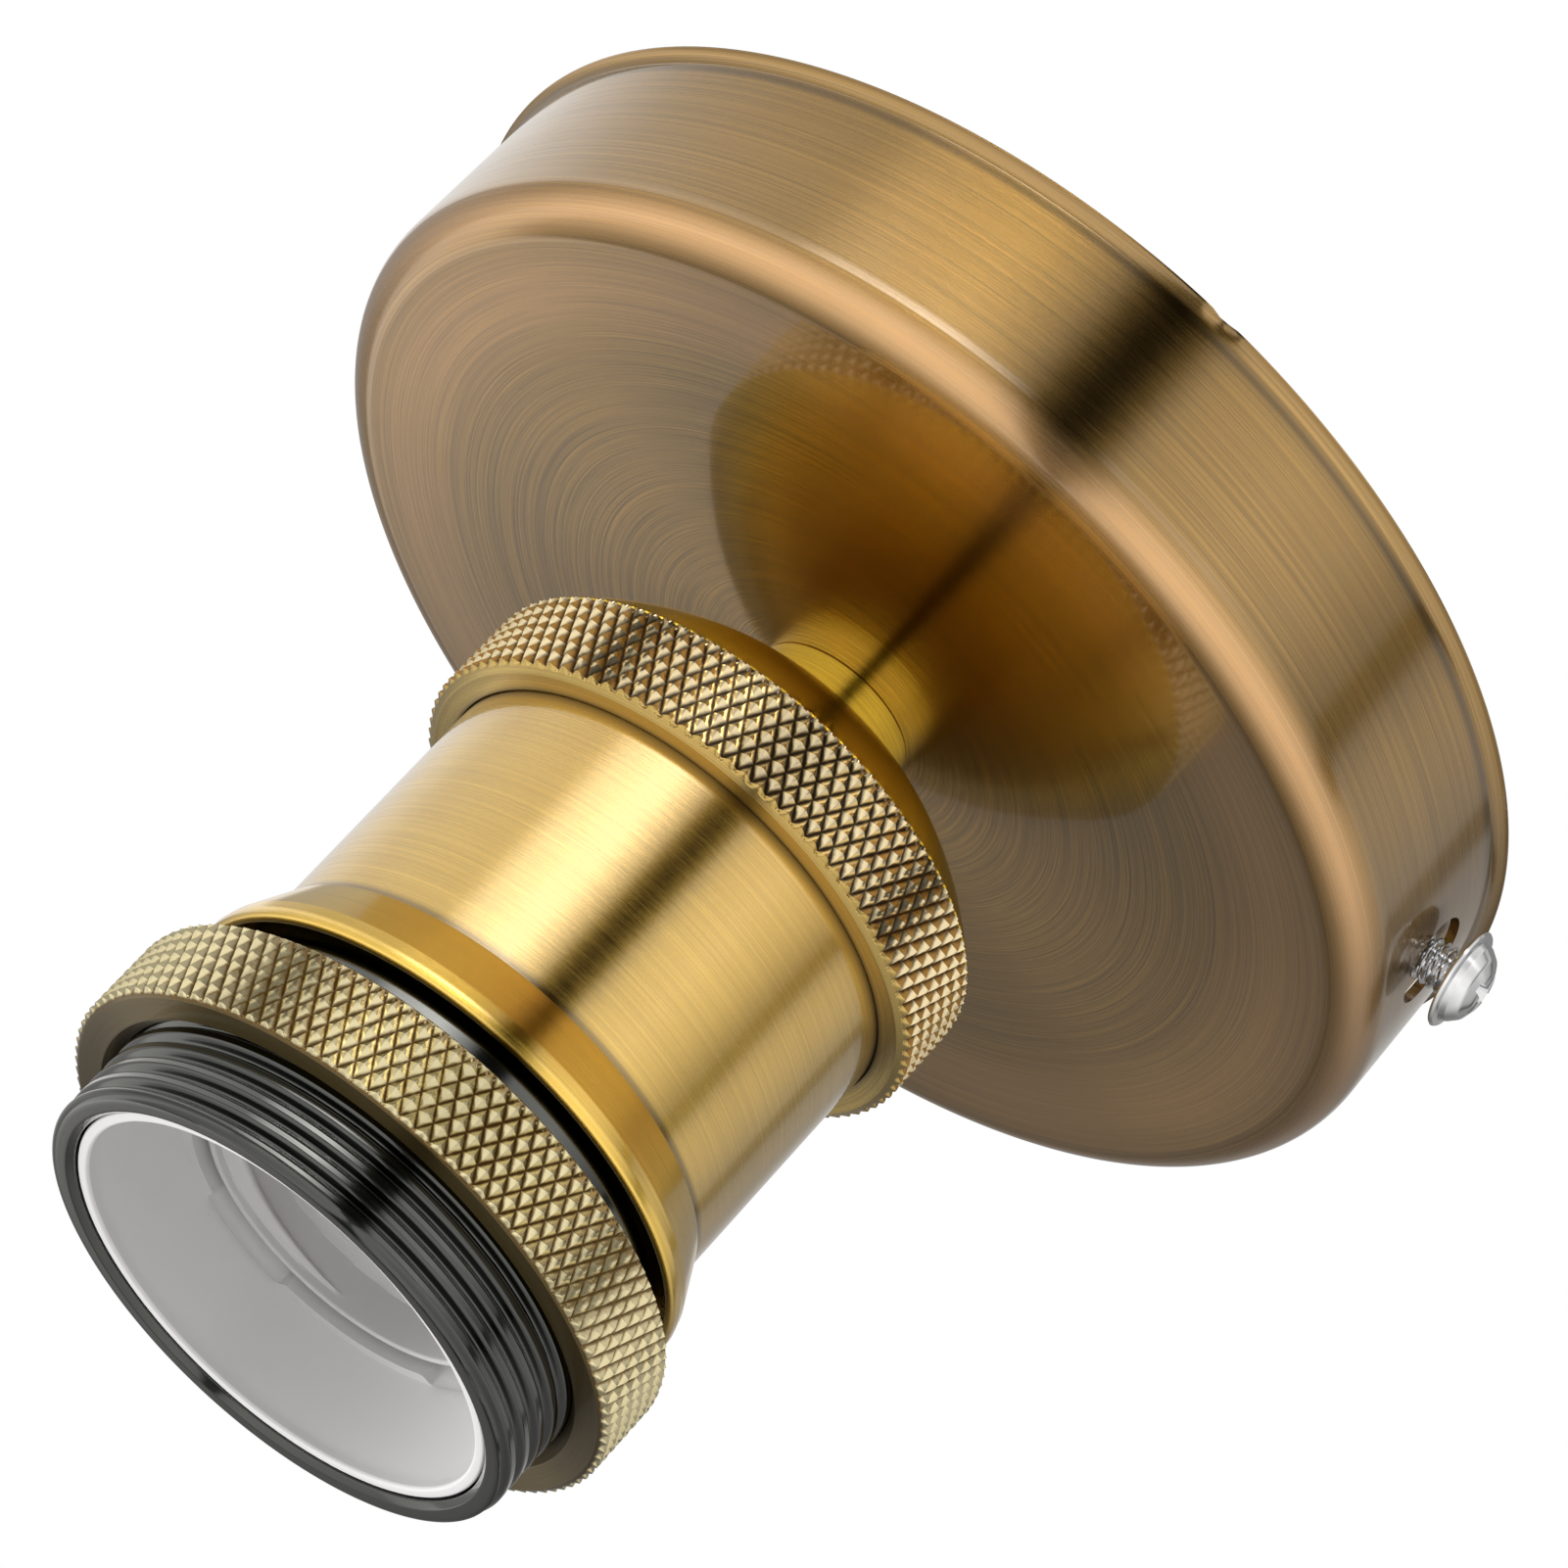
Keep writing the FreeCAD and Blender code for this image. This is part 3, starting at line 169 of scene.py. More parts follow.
def rounded(corners, steps=4, closed=True):
    """An outline with its corners rounded: each corner is (radius, height, rounding). The
    arc touches both edges at rounding / tan(half the corner's angle) from the corner. An
    open run keeps its first and last points as they are."""
    points = np.array([corner[:2] for corner in corners], float)
    parts = []
    for index, corner in enumerate(corners):
        here = points[index]
        size = corner[2] if len(corner) > 2 else 0.0
        if size <= 0 or (not closed and index in (0, len(points) - 1)):
            parts.append(here[None, :])
            continue
        back = points[index - 1] - here
        ahead = points[(index + 1) % len(points)] - here
        back /= np.linalg.norm(back)
        ahead /= np.linalg.norm(ahead)
        half = math.acos(np.clip(back @ ahead, -1, 1)) / 2
        middle = back + ahead
        centre = here + middle / np.linalg.norm(middle) * size / math.sin(half)
        first = here + back * size / math.tan(half) - centre
        last = here + ahead * size / math.tan(half) - centre
        start = math.atan2(first[1], first[0])
        sweep = (math.atan2(last[1], last[0]) - start + math.pi) % TAU - math.pi
        angles = start + sweep * np.linspace(0, 1, steps + 1)
        parts.append(centre + size * np.column_stack([np.cos(angles), np.sin(angles)]))
    return np.vstack(parts)


def divided(start, end, step):
    """Points on a straight line, about one step apart, without the last."""
    start = np.array(start, float)
    end = np.array(end, float)
    steps = max(1, round(np.linalg.norm(end - start) / step))
    return start + (end - start) * (np.arange(steps) / steps)[:, None]


def ring_grid(outline, turns, shape=None):
    """Points of an outline carried round the axis: (r cos t, r sin t, z), outline point by
    outline point and t = 2 pi j / turns. shape(r, z, t) gives each point its own radius."""
    angles = TAU * np.arange(turns) / turns
    radius = np.repeat(outline[:, :1], turns, axis=1)
    height = np.repeat(outline[:, 1:], turns, axis=1)
    turn = np.repeat(angles[None, :], len(outline), axis=0)
    if shape is not None:
        radius = shape(radius, height, turn)
    return np.stack([radius * np.cos(turn), radius * np.sin(turn), height], axis=-1)


def ring_faces(rows, turns, diagonal=None):
    """Faces between neighbouring rows and angles, closed both ways, as quads. With
    diagonal, the quads that it names are cut into triangles along its own diagonal."""
    row, column = np.meshgrid(np.arange(rows), np.arange(turns), indexing="ij")
    near = row * turns + column
    side = row * turns + (column + 1) % turns
    above = (row + 1) % rows * turns + column
    far = (row + 1) % rows * turns + (column + 1) % turns
    if diagonal is None:
        return [np.stack([near, side, far, above], axis=-1).reshape(-1, 4)]
    rising, falling = diagonal
    plain = ~(rising | falling)
    return [
        np.stack([near, side, far, above], axis=-1)[plain],
        np.stack([near, side, far], axis=-1)[rising],
        np.stack([near, far, above], axis=-1)[rising],
        np.stack([near, side, above], axis=-1)[falling],
        np.stack([side, far, above], axis=-1)[falling],
    ]


def held(outline, gap=0.12, beyond=0.0):
    """Adds points at gap / length and 1 - gap / length of each long straight run that
    starts beyond a radius, so that smooth shading stays flat between them."""
    outline = np.asarray(outline, float)
    ways = np.roll(outline, -1, axis=0) - outline
    sizes = np.hypot(ways[:, 0], ways[:, 1])
    share = (gap / np.maximum(sizes, gap))[:, None]
    points = np.stack([outline, outline + ways * share, outline + ways * (1 - share)], axis=1)
    long = (sizes > 6 * gap) & (outline[:, 0] > beyond)
    return points[np.column_stack([np.ones(len(outline), bool), long, long])]


def turned(name, outline, turns, shape=None):
    """A closed outline, counter-clockwise with radius to the right and height up, turned
    round the axis into a closed shell."""
    outline = held(outline)
    points = ring_grid(outline, turns, shape)
    return surface(name, points.reshape(-1, 3), ring_faces(len(outline), turns))


def knurled(name, outline, band, cells, sizes):
    """A turned shell whose band carries diamond pyramids. With u and v = cells t / 2 pi
    plus and minus z / height, the grooves lie where u or v is whole, and the pyramid
    stands 1 - max(|2 frac(u) - 1|, |2 frac(v) - 1|) of the depth above them, blunt over
    its last fifth. The attribute stand keeps that share for the finish."""
    low, high, crest = band
    height = sizes.knurl_height / MM
    depth = sizes.knurl_depth / MM
    turns = cells * STEPS_PER_CELL
    outline = held(outline, beyond=crest - 4.0)

    def shape(radius, level, turn):
        along = cells * turn / TAU
        up = (level - low) / height
        rise = 1 - np.maximum(np.abs(2 * ((along + up) % 1) - 1),
                              np.abs(2 * ((along - up) % 1) - 1))
        lift = np.interp(rise, [0, 0.8, 1], [0, 0.94, 1])
        cut = np.minimum(radius, crest - depth * (1 - lift))
        inside = (radius > crest - depth * 1.05) & (level > low - 1.0) & (level < high + 1.0)
        return np.where(inside, cut, radius)

    points = ring_grid(outline, turns, shape)
    stand = 1 - (crest - np.hypot(points[..., 0], points[..., 1])) / depth
    level = outline[:, 1]
    step = height / STEPS_PER_CELL
    place = np.round((level - low) / step).astype(int)
    in_band = np.abs((level - low) / step - place) < 0.01
    in_band &= (outline[:, 0] > crest - 0.01)
    both = (in_band & np.roll(in_band, -1))[:, None]
    row = place[:, None]
    column = np.arange(turns)[None, :]
    rising = both & ((column - row) % STEPS_PER_CELL == 0)
    falling = both & ((column + row + 1) % STEPS_PER_CELL == 0) & ~rising
    faces = ring_faces(len(outline), turns, (rising, falling))
    piece = surface(name, points.reshape(-1, 3), faces, sharp=24.0)
    stored = piece.data.attributes.new("stand", "FLOAT", "POINT")
    stored.data.foreach_set("value", np.clip(stand, 0, 1).ravel())
    return piece


def band_rows(radius, low, high, height):
    """Outline points up a knurled band, on the knurl's own lattice."""
    step = height / STEPS_PER_CELL
    rows = int((high - low) / step) + 1
    return np.column_stack([np.full(rows, radius), low + step * np.arange(rows)])


def prism(name, low, high):
    """A closed prism between two rings of points in millimetres, as many in each."""
    sides = len(low)
    index = np.arange(sides)
    after = (index + 1) % sides
    walls = np.stack([index, after, after + sides, index + sides], axis=-1)
    ends = [index[None, ::-1], index[None, :] + sides]
    return surface(name, np.vstack([low, high]), [walls] + ends)


def cut_away(piece, cutters):
    """Cuts closed pieces out of a piece and removes them."""
    for cutter in cutters:
        cut = piece.modifiers.new("cut", "BOOLEAN")
        cut.operation = "DIFFERENCE"
        cut.solver = "EXACT"
        cut.object = cutter
    mesh = bpy.data.meshes.new_from_object(
        piece.evaluated_get(bpy.context.evaluated_depsgraph_get()))
    piece.modifiers.clear()
    piece.data = mesh
    mesh.name = piece.name
    for cutter in cutters:
        bpy.data.objects.remove(cutter)
    mesh.shade_smooth()
    mesh.set_sharp_from_angle(angle=math.radians(SHARP))


def paint(piece, names, chosen):
    """Gives a piece several finishes: chosen(r, z) names the one of each face by number,
    from the face centres in millimetres."""
    piece.data.materials.clear()
    for name in names:
        piece.data.materials.append(bpy.data.materials[name])
    centres = np.empty(len(piece.data.polygons) * 3)
    piece.data.polygons.foreach_get("center", centres)
    centres = centres.reshape(-1, 3) / MM
    picked = chosen(np.hypot(centres[:, 0], centres[:, 1]), centres[:, 2])
    piece.data.polygons.foreach_set("material_index", picked.astype(np.int32))


# Finishes


def scaled(colour, factor):
    """A colour made darker or lighter by a factor."""
    return [value * factor for value in colour]


def feed(tree, made, inputs):
    """Links or sets the inputs of a node, by name or number, and gives the node back."""
    for key, value in inputs.items():
        if isinstance(value, bpy.types.NodeSocket):
            tree.links.new(value, made.inputs[key])
        else:
            made.inputs[key].default_value = value
    return made


def node(tree, kind, inputs=None, **settings):
    """Adds a shader node with its properties and inputs."""
    made = tree.nodes.new(kind)
    for key, value in settings.items():
        setattr(made, key, value)
    return feed(tree, made, inputs or {})


def sums(tree, operation, *values):
    """The result of a Math node."""
    return node(tree, "ShaderNodeMath", dict(enumerate(values)), operation=operation).outputs[0]


def vectors(tree, operation, inputs, output=0):
    """The result of a Vector Math node."""
    return node(tree, "ShaderNodeVectorMath", inputs, operation=operation).outputs[output]


def blended(tree, share, first, second):
    """A colour between two others."""
    first, second = [value if isinstance(value, bpy.types.NodeSocket) else (*value, 1.0)
                     for value in (first, second)]
    return node(tree, "ShaderNodeMix", {0: share, 6: first, 7: second},
                data_type="RGBA").outputs[2]


def mapped(tree, value, start=0.0, end=1.0, low=0.0, high=1.0, smooth=False):
    """A value carried from start and end to low and high, in a line or smoothly."""
    return node(tree, "ShaderNodeMapRange", {
        "Value": value, "From Min": start, "From Max": end, "To Min": low, "To Max": high},
        interpolation_type="SMOOTHSTEP" if smooth else "LINEAR").outputs[0]


def noise(tree, where, scale, detail, roughness=0.5):
    """The value of a noise texture."""
    return node(tree, "ShaderNodeTexNoise", {
        "Vector": where, "Scale": scale, "Detail": detail,
        "Roughness": roughness}).outputs["Fac"]


def bumped(tree, strength, depth, height):
    """The normal of a surface raised by a height of 0 to 1, over a depth in millimetres."""
    return node(tree, "ShaderNodeBump", {
        "Strength": strength, "Distance": depth * MM, "Height": height}).outputs[0]


def own_place(tree):
    """The shaded point in the piece's own coordinates."""
    return node(tree, "ShaderNodeTexCoord").outputs["Object"]


def split(tree, vector):
    """The three parts of a vector."""
    return node(tree, "ShaderNodeSeparateXYZ", {0: vector}).outputs[:]


def joined(tree, *parts):
    """A vector from two or three parts."""
    return node(tree, "ShaderNodeCombineXYZ", dict(enumerate(parts))).outputs[0]


def round_place(tree):
    """The shaded point, its part across the Z axis, its radius and its level."""
    place = own_place(tree)
    x, y, level = split(tree, place)
    flat = joined(tree, x, y)
    return place, flat, vectors(tree, "LENGTH", {0: flat}, "Value"), level


def new_group(name, inputs, outputs):
    """A node group with number inputs and outputs, what it is given and its output node."""
    tree = bpy.data.node_groups.new(name, "ShaderNodeTree")
    for key, value in inputs.items():
        tree.interface.new_socket(
            name=key, in_out="INPUT", socket_type="NodeSocketFloat").default_value = value
    for key in outputs:
        tree.interface.new_socket(name=key, in_out="OUTPUT", socket_type="NodeSocketFloat")
    return tree, tree.nodes.new("NodeGroupInput").outputs, tree.nodes.new("NodeGroupOutput")


def turned_lines_group():
    """Node group: lines left by turning and brushing round the Z axis. The noise is read
    at (a x / r, a y / r, f (z + slant r)), so that it runs long round the axis and short
    across it. Outputs are fine lines, broad streaks and clouds, all from 0 to 1."""
    slant = 1.13
    tree, given, result = new_group(
        "turned_lines", {"Lines per mm": 6.0, "Turns apart": 5.0}, ("Fine", "Broad", "Cloud"))
    place, flat, radius, level = round_place(tree)
    way = vectors(tree, "NORMALIZE", {0: flat})
    across = sums(tree, "ADD", level, sums(tree, "MULTIPLY", radius, slant))
    across = sums(tree, "MULTIPLY", across, 1 / MM)
    outputs = []
    for share, apart in ((1.0, 1.0), (0.22, 0.55)):
        lines = sums(tree, "MULTIPLY", sums(tree, "MULTIPLY", across, given[0]), share)
        spread = sums(tree, "MULTIPLY", given[1], apart)
        x, y, _ = split(tree, vectors(tree, "SCALE", {0: way, "Scale": spread}))
        outputs.append(noise(tree, joined(tree, x, y, lines), 1.0, 3.0, 0.6))
    outputs.append(noise(tree, place, 45.0, 4.0, 0.55))
    for index, output in enumerate(outputs):
        tree.links.new(mapped(tree, output, 0.3, 0.7), result.inputs[index])


def ring_band_group():
    """Node group: how near a point lies to a ring of given radius and height, in
    millimetres: 1 on it, falling smoothly to 0 at the given width."""
    tree, given, result = new_group(
        "ring_band", {"Radius": 47.0, "Height": -17.0, "Width": 4.0}, ("Mask",))
    _, _, radius, level = round_place(tree)
    off_radius = sums(tree, "SUBTRACT", sums(tree, "MULTIPLY", radius, 1 / MM), given[0])
    off_level = sums(tree, "SUBTRACT", sums(tree, "MULTIPLY", level, 1 / MM), given[1])
    off = sums(tree, "SQRT", sums(tree, "MULTIPLY_ADD", off_radius, off_radius,
                                  sums(tree, "MULTIPLY", off_level, off_level)))
    near = mapped(tree, sums(tree, "DIVIDE", off, given[2]), 1.0, 0.0, smooth=True)
    tree.links.new(near, result.inputs[0])


def new_material(name):
    """A material's node tree and its Principled shader."""
    material = bpy.data.materials.new(name)
    material.use_nodes = True
    return material.node_tree, material.node_tree.nodes["Principled BSDF"]


def use_group(tree, name, inputs):
    """Places a node group with its own values, and gives its outputs."""
    return node(tree, "ShaderNodeGroup", inputs, node_tree=bpy.data.node_groups[name]).outputs


def spread_lines(tree, lines, apart, share):
    """Fine and broad turned lines mixed into one value, and the outputs of their group."""
    group = use_group(tree, "turned_lines", {"Lines per mm": lines, "Turns apart": apart})
    broad = sums(tree, "MULTIPLY", group["Broad"], 1 - share)
    return sums(tree, "MULTIPLY_ADD", group["Fine"], share, broad), group


def brushed_brass(name, colour, patina, roughness=0.26, patina_share=0.45, lines=20.0,
                  apart=0.7, coat=1.0, coat_roughness=0.08, bands=()):
    """Lacquered brass brushed round the axis: brown patina in the lines, clear coat. Each band
    is (radius, height, width, colour, share): a ring where the brass is rubbed, or a dark ring
    of painted shade at a corner or under an overhang."""
    tree, shader = new_material(name)
    mixed, group = spread_lines(tree, lines, apart, 0.78)
    toned = blended(tree, mapped(tree, mixed, 0.15, 0.85, patina_share, 0.0), colour, patina)
    for radius, height, width, tone, share in bands:
        near = use_group(tree, "ring_band", {
            "Radius": radius, "Height": height, "Width": width})[0]
        wear_and_shade = mapped(tree, group["Cloud"], low=share * 0.75, high=share)
        toned = blended(tree, sums(tree, "MULTIPLY", near, wear_and_shade), toned, tone)
    feed(tree, shader, {
        "Base Color": toned,
        "Roughness": mapped(tree, mixed, low=roughness * 1.12, high=roughness * 0.88),
        "Normal": bumped(tree, 0.2, 0.02, group["Fine"]),
        "Metallic": 1.0, "Anisotropic": 1.0, "Anisotropic Rotation": 0.25,
        "Coat Weight": coat, "Coat IOR": 1.55, "Coat Roughness": coat_roughness})


def knurl_brass(name, crest, groove_patina_and_shade, roughness, spread):
    """Brass of a knurl: pale and rubbed on the points, dark down in the grooves as patina with
    painted shade.
    """
    tree, shader = new_material(name)
    stand = node(tree, "ShaderNodeAttribute", attribute_name="stand").outputs["Fac"]
    place = own_place(tree)
    grain = noise(tree, place, 1400.0, 3.0)
    clouds = sums(tree, "MULTIPLY_ADD", noise(tree, place, 90.0, 3.0), 0.4, -0.45)
    high = sums(tree, "ADD", stand, sums(tree, "MULTIPLY_ADD", grain, 0.5, clouds))
    # The points' colour grows with the height in the knurl, so the grooves carry patina and
    # painted shade.
    rubbed = mapped(tree, high, 0.05, spread, smooth=True)
    feed(tree, shader, {
        "Base Color": blended(tree, rubbed, groove_patina_and_shade, crest),
        "Roughness": mapped(tree, rubbed, low=roughness * 1.5, high=roughness),
        "Normal": bumped(tree, 0.35, 0.05, grain),
        "Metallic": 1.0, "Coat Weight": 0.6, "Coat Roughness": 0.12})


def black_nickel(name, colour):
    """Glossy black finish with fine turned lines and a little dust in them."""
    tree, shader = new_material(name)
    mixed, group = spread_lines(tree, 8.0, 2.5, 0.5)
    dust = mapped(tree, group["Fine"], high=0.35)
    feed(tree, shader, {
        "Base Color": blended(tree, dust, colour, scaled(colour, 2.6)),
        "Normal": bumped(tree, 0.25, 0.03, mixed),
        "Metallic": 1.0, "Roughness": 0.2,
        "Coat Weight": 1.0, "Coat IOR": 1.6, "Coat Roughness": 0.06})


def moulded_white(name, colour, speck=(0.25, 0.22, 0.19)):
    """Satin moulded white with a fine grain, faint clouds and a few dark specks."""
    tree, shader = new_material(name)
    place = own_place(tree)
    cells = node(tree, "ShaderNodeTexVoronoi", {"Vector": place, "Scale": 330.0})
    specks = mapped(tree, cells.outputs["Distance"], 0.035, 0.015, high=0.5, smooth=True)
    clouded = blended(tree, noise(tree, place, 70.0, 4.0), colour, scaled(colour, 0.93))
    feed(tree, shader, {
        "Base Color": blended(tree, specks, clouded, speck),
        "Normal": bumped(tree, 0.15, 0.03, noise(tree, place, 900.0, 3.0)),
        "Roughness": 0.42})


def plain_metal(name, colour, roughness):
    """Plated or bare metal with faint mottling in its colour, gloss and surface."""
    tree, shader = new_material(name)
    cloud = noise(tree, own_place(tree), 500.0, 5.0)
    feed(tree, shader, {
        "Base Color": blended(tree, cloud, colour, scaled(colour, 0.72)),
        "Roughness": mapped(tree, cloud, low=roughness * 0.7, high=roughness * 1.4),
        "Normal": bumped(tree, 0.2, 0.01, cloud), "Metallic": 1.0})


def make_finishes(colours):
    """All the finishes, by name."""
    turned_lines_group()
    ring_band_group()
    patina = colours.patina
    dark = colours.dark
    brushed_brass("shell_brass", colours.brass, patina, bands=(
        # Both dark rings are painted shade: one just above the skirt's step, one where the shell
        # goes into the cap.
        (SHELL_RADIUS, SHELL_LIP + 6.3, 0.7, dark, 0.8),
        (SHELL_RADIUS, CAP_FRONT - 0.2, 0.8, dark, 0.7)))
    brushed_brass("golden_brass", colours.gold, patina, roughness=0.24, patina_share=0.3)
    brushed_brass("deep_gold", colours.deep_gold, patina, roughness=0.22, coat=0.7)
    # The dark ring at the inner edge of the cap's front, beside the shell, is painted shade.
    brushed_brass("aged_brass", colours.aged, dark, roughness=0.28, patina_share=0.4,
                  coat=0.4, bands=((SHELL_RADIUS, CAP_FRONT, 0.6, dark, 0.8),))
    brushed_brass("olive_brass", colours.olive, dark, roughness=0.32, patina_share=0.5,
                  coat=0.25)
    rubbed = ((48.6, CANOPY_FACE + 1.2, 3.0, colours.copper, 0.5),
              (42.0, CANOPY_FACE, 8.0, colours.copper, 0.3))
    # The dark ring just under the canopy's turned-out rim is painted shade; the copper rings are
    # rubbed wear.
    brushed_brass("canopy_brass", colours.canopy_brass, dark, patina_share=0.55,
                  lines=14.0, apart=1.0, bands=rubbed + ((49.3, -1.6, 0.8, dark, 0.8),))
    brushed_brass("canopy_face_brass", colours.canopy_brass, dark, roughness=0.17,
                  patina_share=0.7, lines=11.0, apart=1.4, coat_roughness=0.05, bands=rubbed)
    # The knurls' groove colours are patina with painted shade in them.
    knurl_brass("bright_knurl", colours.cream, dark, 0.14, 0.55)
    knurl_brass("pale_knurl", colours.pale, scaled(patina, 0.5), 0.24, 0.42)
    black_nickel("black_nickel", colours.black)
    moulded_white("moulded_white", colours.white)
    # The liner's rim gets the same white 1.38 times lighter: painted light on the rim.
    moulded_white("painted_lit_rim_white", scaled(colours.white, 1.38))
    plain_metal("bright_zinc", colours.zinc, 0.18)
    plain_metal("plain_brass", colours.bare_brass, 0.28)


def finish(piece, name):
    """Gives a piece one of the finishes."""
    piece.data.materials.clear()
    piece.data.materials.append(bpy.data.materials[name])


# Pieces


class Step:
    """What every step shares."""

    bl_options = {"REGISTER", "UNDO"}


class FinishesOperator(Step, bpy.types.Operator):
    """Make the finishes and give them to the CAD pieces by their material slots"""

    bl_idname = "holder.finishes"
    bl_label = "Finishes"

    def execute(self, context):
        make_finishes(context.scene.holder_colours)
        by_slot = {"antique_brass": "shell_brass", "black_oxide": "black_nickel",
                   "white_insulator": "moulded_white", "zinc_steel": "bright_zinc",
                   "plain_brass": "plain_brass"}
        for part in frame["record"]["subparts"]:
            finish(frame["nodes"][part["node"]], by_slot[part["material_slot"]])
        return {"FINISHED"}


class CanopyOperator(Step, bpy.types.Operator):
    """Spin the canopy with its rounded corner, turned-out rim and two screw holes"""

    bl_idname = "holder.canopy"
    bl_label = "Canopy"

    def execute(self, context):
        face = CANOPY_FACE
        sheet = 0.8
        flat = 46.0
        corner = 3.5
        hole = 3.8
        hole_level = -8.8
        past_wall = (60.0, 0, 0)
        outline = np.vstack([
            divided((TUBE_HOLE, face), (flat, face), 4.0),
            bend((flat, face + corner), corner, -90, 0, 16),
            divided((49.48, face + 4.2), (49.2, -1.1), 1.5),
            bend((50.487, -1.392), 1.32, 167.2, 113, 8),
            rounded([(50.0, -0.165), (50.0, 0.0, 0.06), (48.62, 0.0, 0.06), (48.4, -1.1)],
                    3, False),
            divided((48.42, -2.0), (48.7, face + corner), 3.0),
            bend((flat, face + corner), corner - sheet, 0, -90, 12),
            divided((flat - 2.0, face + sheet), (TUBE_HOLE, face + sheet), 6.0),
            [(TUBE_HOLE, face + sheet)],
        ])
        nick = math.radians(-68.1)

        def dented(radius, level, turn):
            """The rim's edge stands back by 0.4 exp(-(t / 0.016)^2 - (z / 0.6)^2)."""
            off = (turn - nick + math.pi) % TAU - math.pi
            dent = 0.4 * np.exp(-(off / 0.016) ** 2) * np.exp(-(level / 0.6) ** 2)
            return np.where(radius > 49.3, radius - dent, radius)

        piece = turned("canopy_cup", outline, 384, dented)
        circle = TAU * np.arange(48) / 48
        ring = np.column_stack([0 * circle, hole * np.cos(circle),
                                hole * np.sin(circle) + hole_level])
        cut_away(piece, [prism("hole_cutter", ring - past_wall, ring + past_wall)])
        paint(piece, ["canopy_brass", "canopy_face_brass"],
              lambda radius, level: np.where(level < face + 0.05, 1, 0))
        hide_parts("canopy")
        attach(piece, "holder")
        return {"FINISHED"}


class CapOperator(Step, bpy.types.Operator):
    """Turn the domed cap and cut the knurl into its band"""

    bl_idname = "holder.cap"
    bl_label = "Socket cap"

    def execute(self, context):
        sizes = context.scene.holder_sizes
        front = CAP_FRONT
        seat = CAP_SEAT
        band_low = front + 0.65
        band_high = band_low + 7.3
        crest = reach("socket_cap")
        ball = 29.3
        top = 7.1
        centre = seat - math.sqrt(ball ** 2 - top ** 2)
        start = math.degrees(math.asin((band_high + 0.35 - centre) / ball))
        end = math.degrees(math.acos(top / ball))
        dome = bend((0, centre), ball, start, end, 28)
        dome[:, 0] += (22.8 - dome[0, 0]) * np.linspace(1, 0, len(dome))
        outline = np.vstack([
            [(19.85, front + 4.0)],
            rounded([(20.55, front + 4.0), (20.55, front, 0.12), (22.3, front, 0.08),
                     (22.42, front + 0.087)], 4, False),
            divided((22.5, front + 0.144), (crest, band_low), 0.12),
            band_rows(crest, band_low, band_high, sizes.knurl_height / MM),
            [(crest - 0.02, band_high), (22.95, band_high + 0.2)],
            dome,
            [(TUBE_HOLE, seat), (TUBE_HOLE, seat - 1.6), (8.2, seat - 1.6), (13.0, seat - 3.1),
             (17.0, seat - 5.6), (19.45, front + 9.2), (19.85, front + 8.8)],
        ])
        piece = knurled("knurled_cap", outline, (band_low, band_high, crest),
                        sizes.cap_cells, sizes)
        paint(piece, ["deep_gold", "bright_knurl", "aged_brass"],
              lambda radius, level: np.where(
                  level > band_high + 0.22, 0, np.where(level > band_low - 0.02, 1, 2)))
        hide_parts("socket_cap")
        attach(piece, "holder")
        return {"FINISHED"}


class ShellOperator(Step, bpy.types.Operator):
    """Turn the outer shell with its flared skirt, and the distance collar"""

    bl_idname = "holder.shell"
    bl_label = "Shell and collar"

    def execute(self, context):
        lip = SHELL_LIP
        step = lip + 6.05
        top = step + 26.5
        outline = rounded([
            (22.15, lip, 0.36), (23.0, lip, 0.42), (23.0, lip + 0.95, 0.5),
            (22.75, lip + 1.9, 0.8), (20.75, step, 0.1), (SHELL_RADIUS, step, 0.06),
            (SHELL_RADIUS, top, 0.1), (19.9, top, 0.1), (19.9, step, 0.5),
            (21.9, lip + 1.9, 1.0),
        ], 6)
        shell = turned("shell_and_skirt", outline, 320)
        paint(shell, ["shell_brass", "golden_brass"],
              lambda radius, level: np.where(level < step - 0.02, 1, 0))
        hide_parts("outer_shell")
        collar = turned("distance_collar", rounded([
            (TUBE_HOLE, CAP_SEAT, 0.1), (7.0, CAP_SEAT, 0.1), (7.0, CANOPY_FACE, 0.1),
            (TUBE_HOLE, CANOPY_FACE, 0.1)]), 160)
        finish(collar, "deep_gold")
        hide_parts("spacer_collar")
        for piece in (shell, collar):
            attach(piece, "holder")
        return {"FINISHED"}


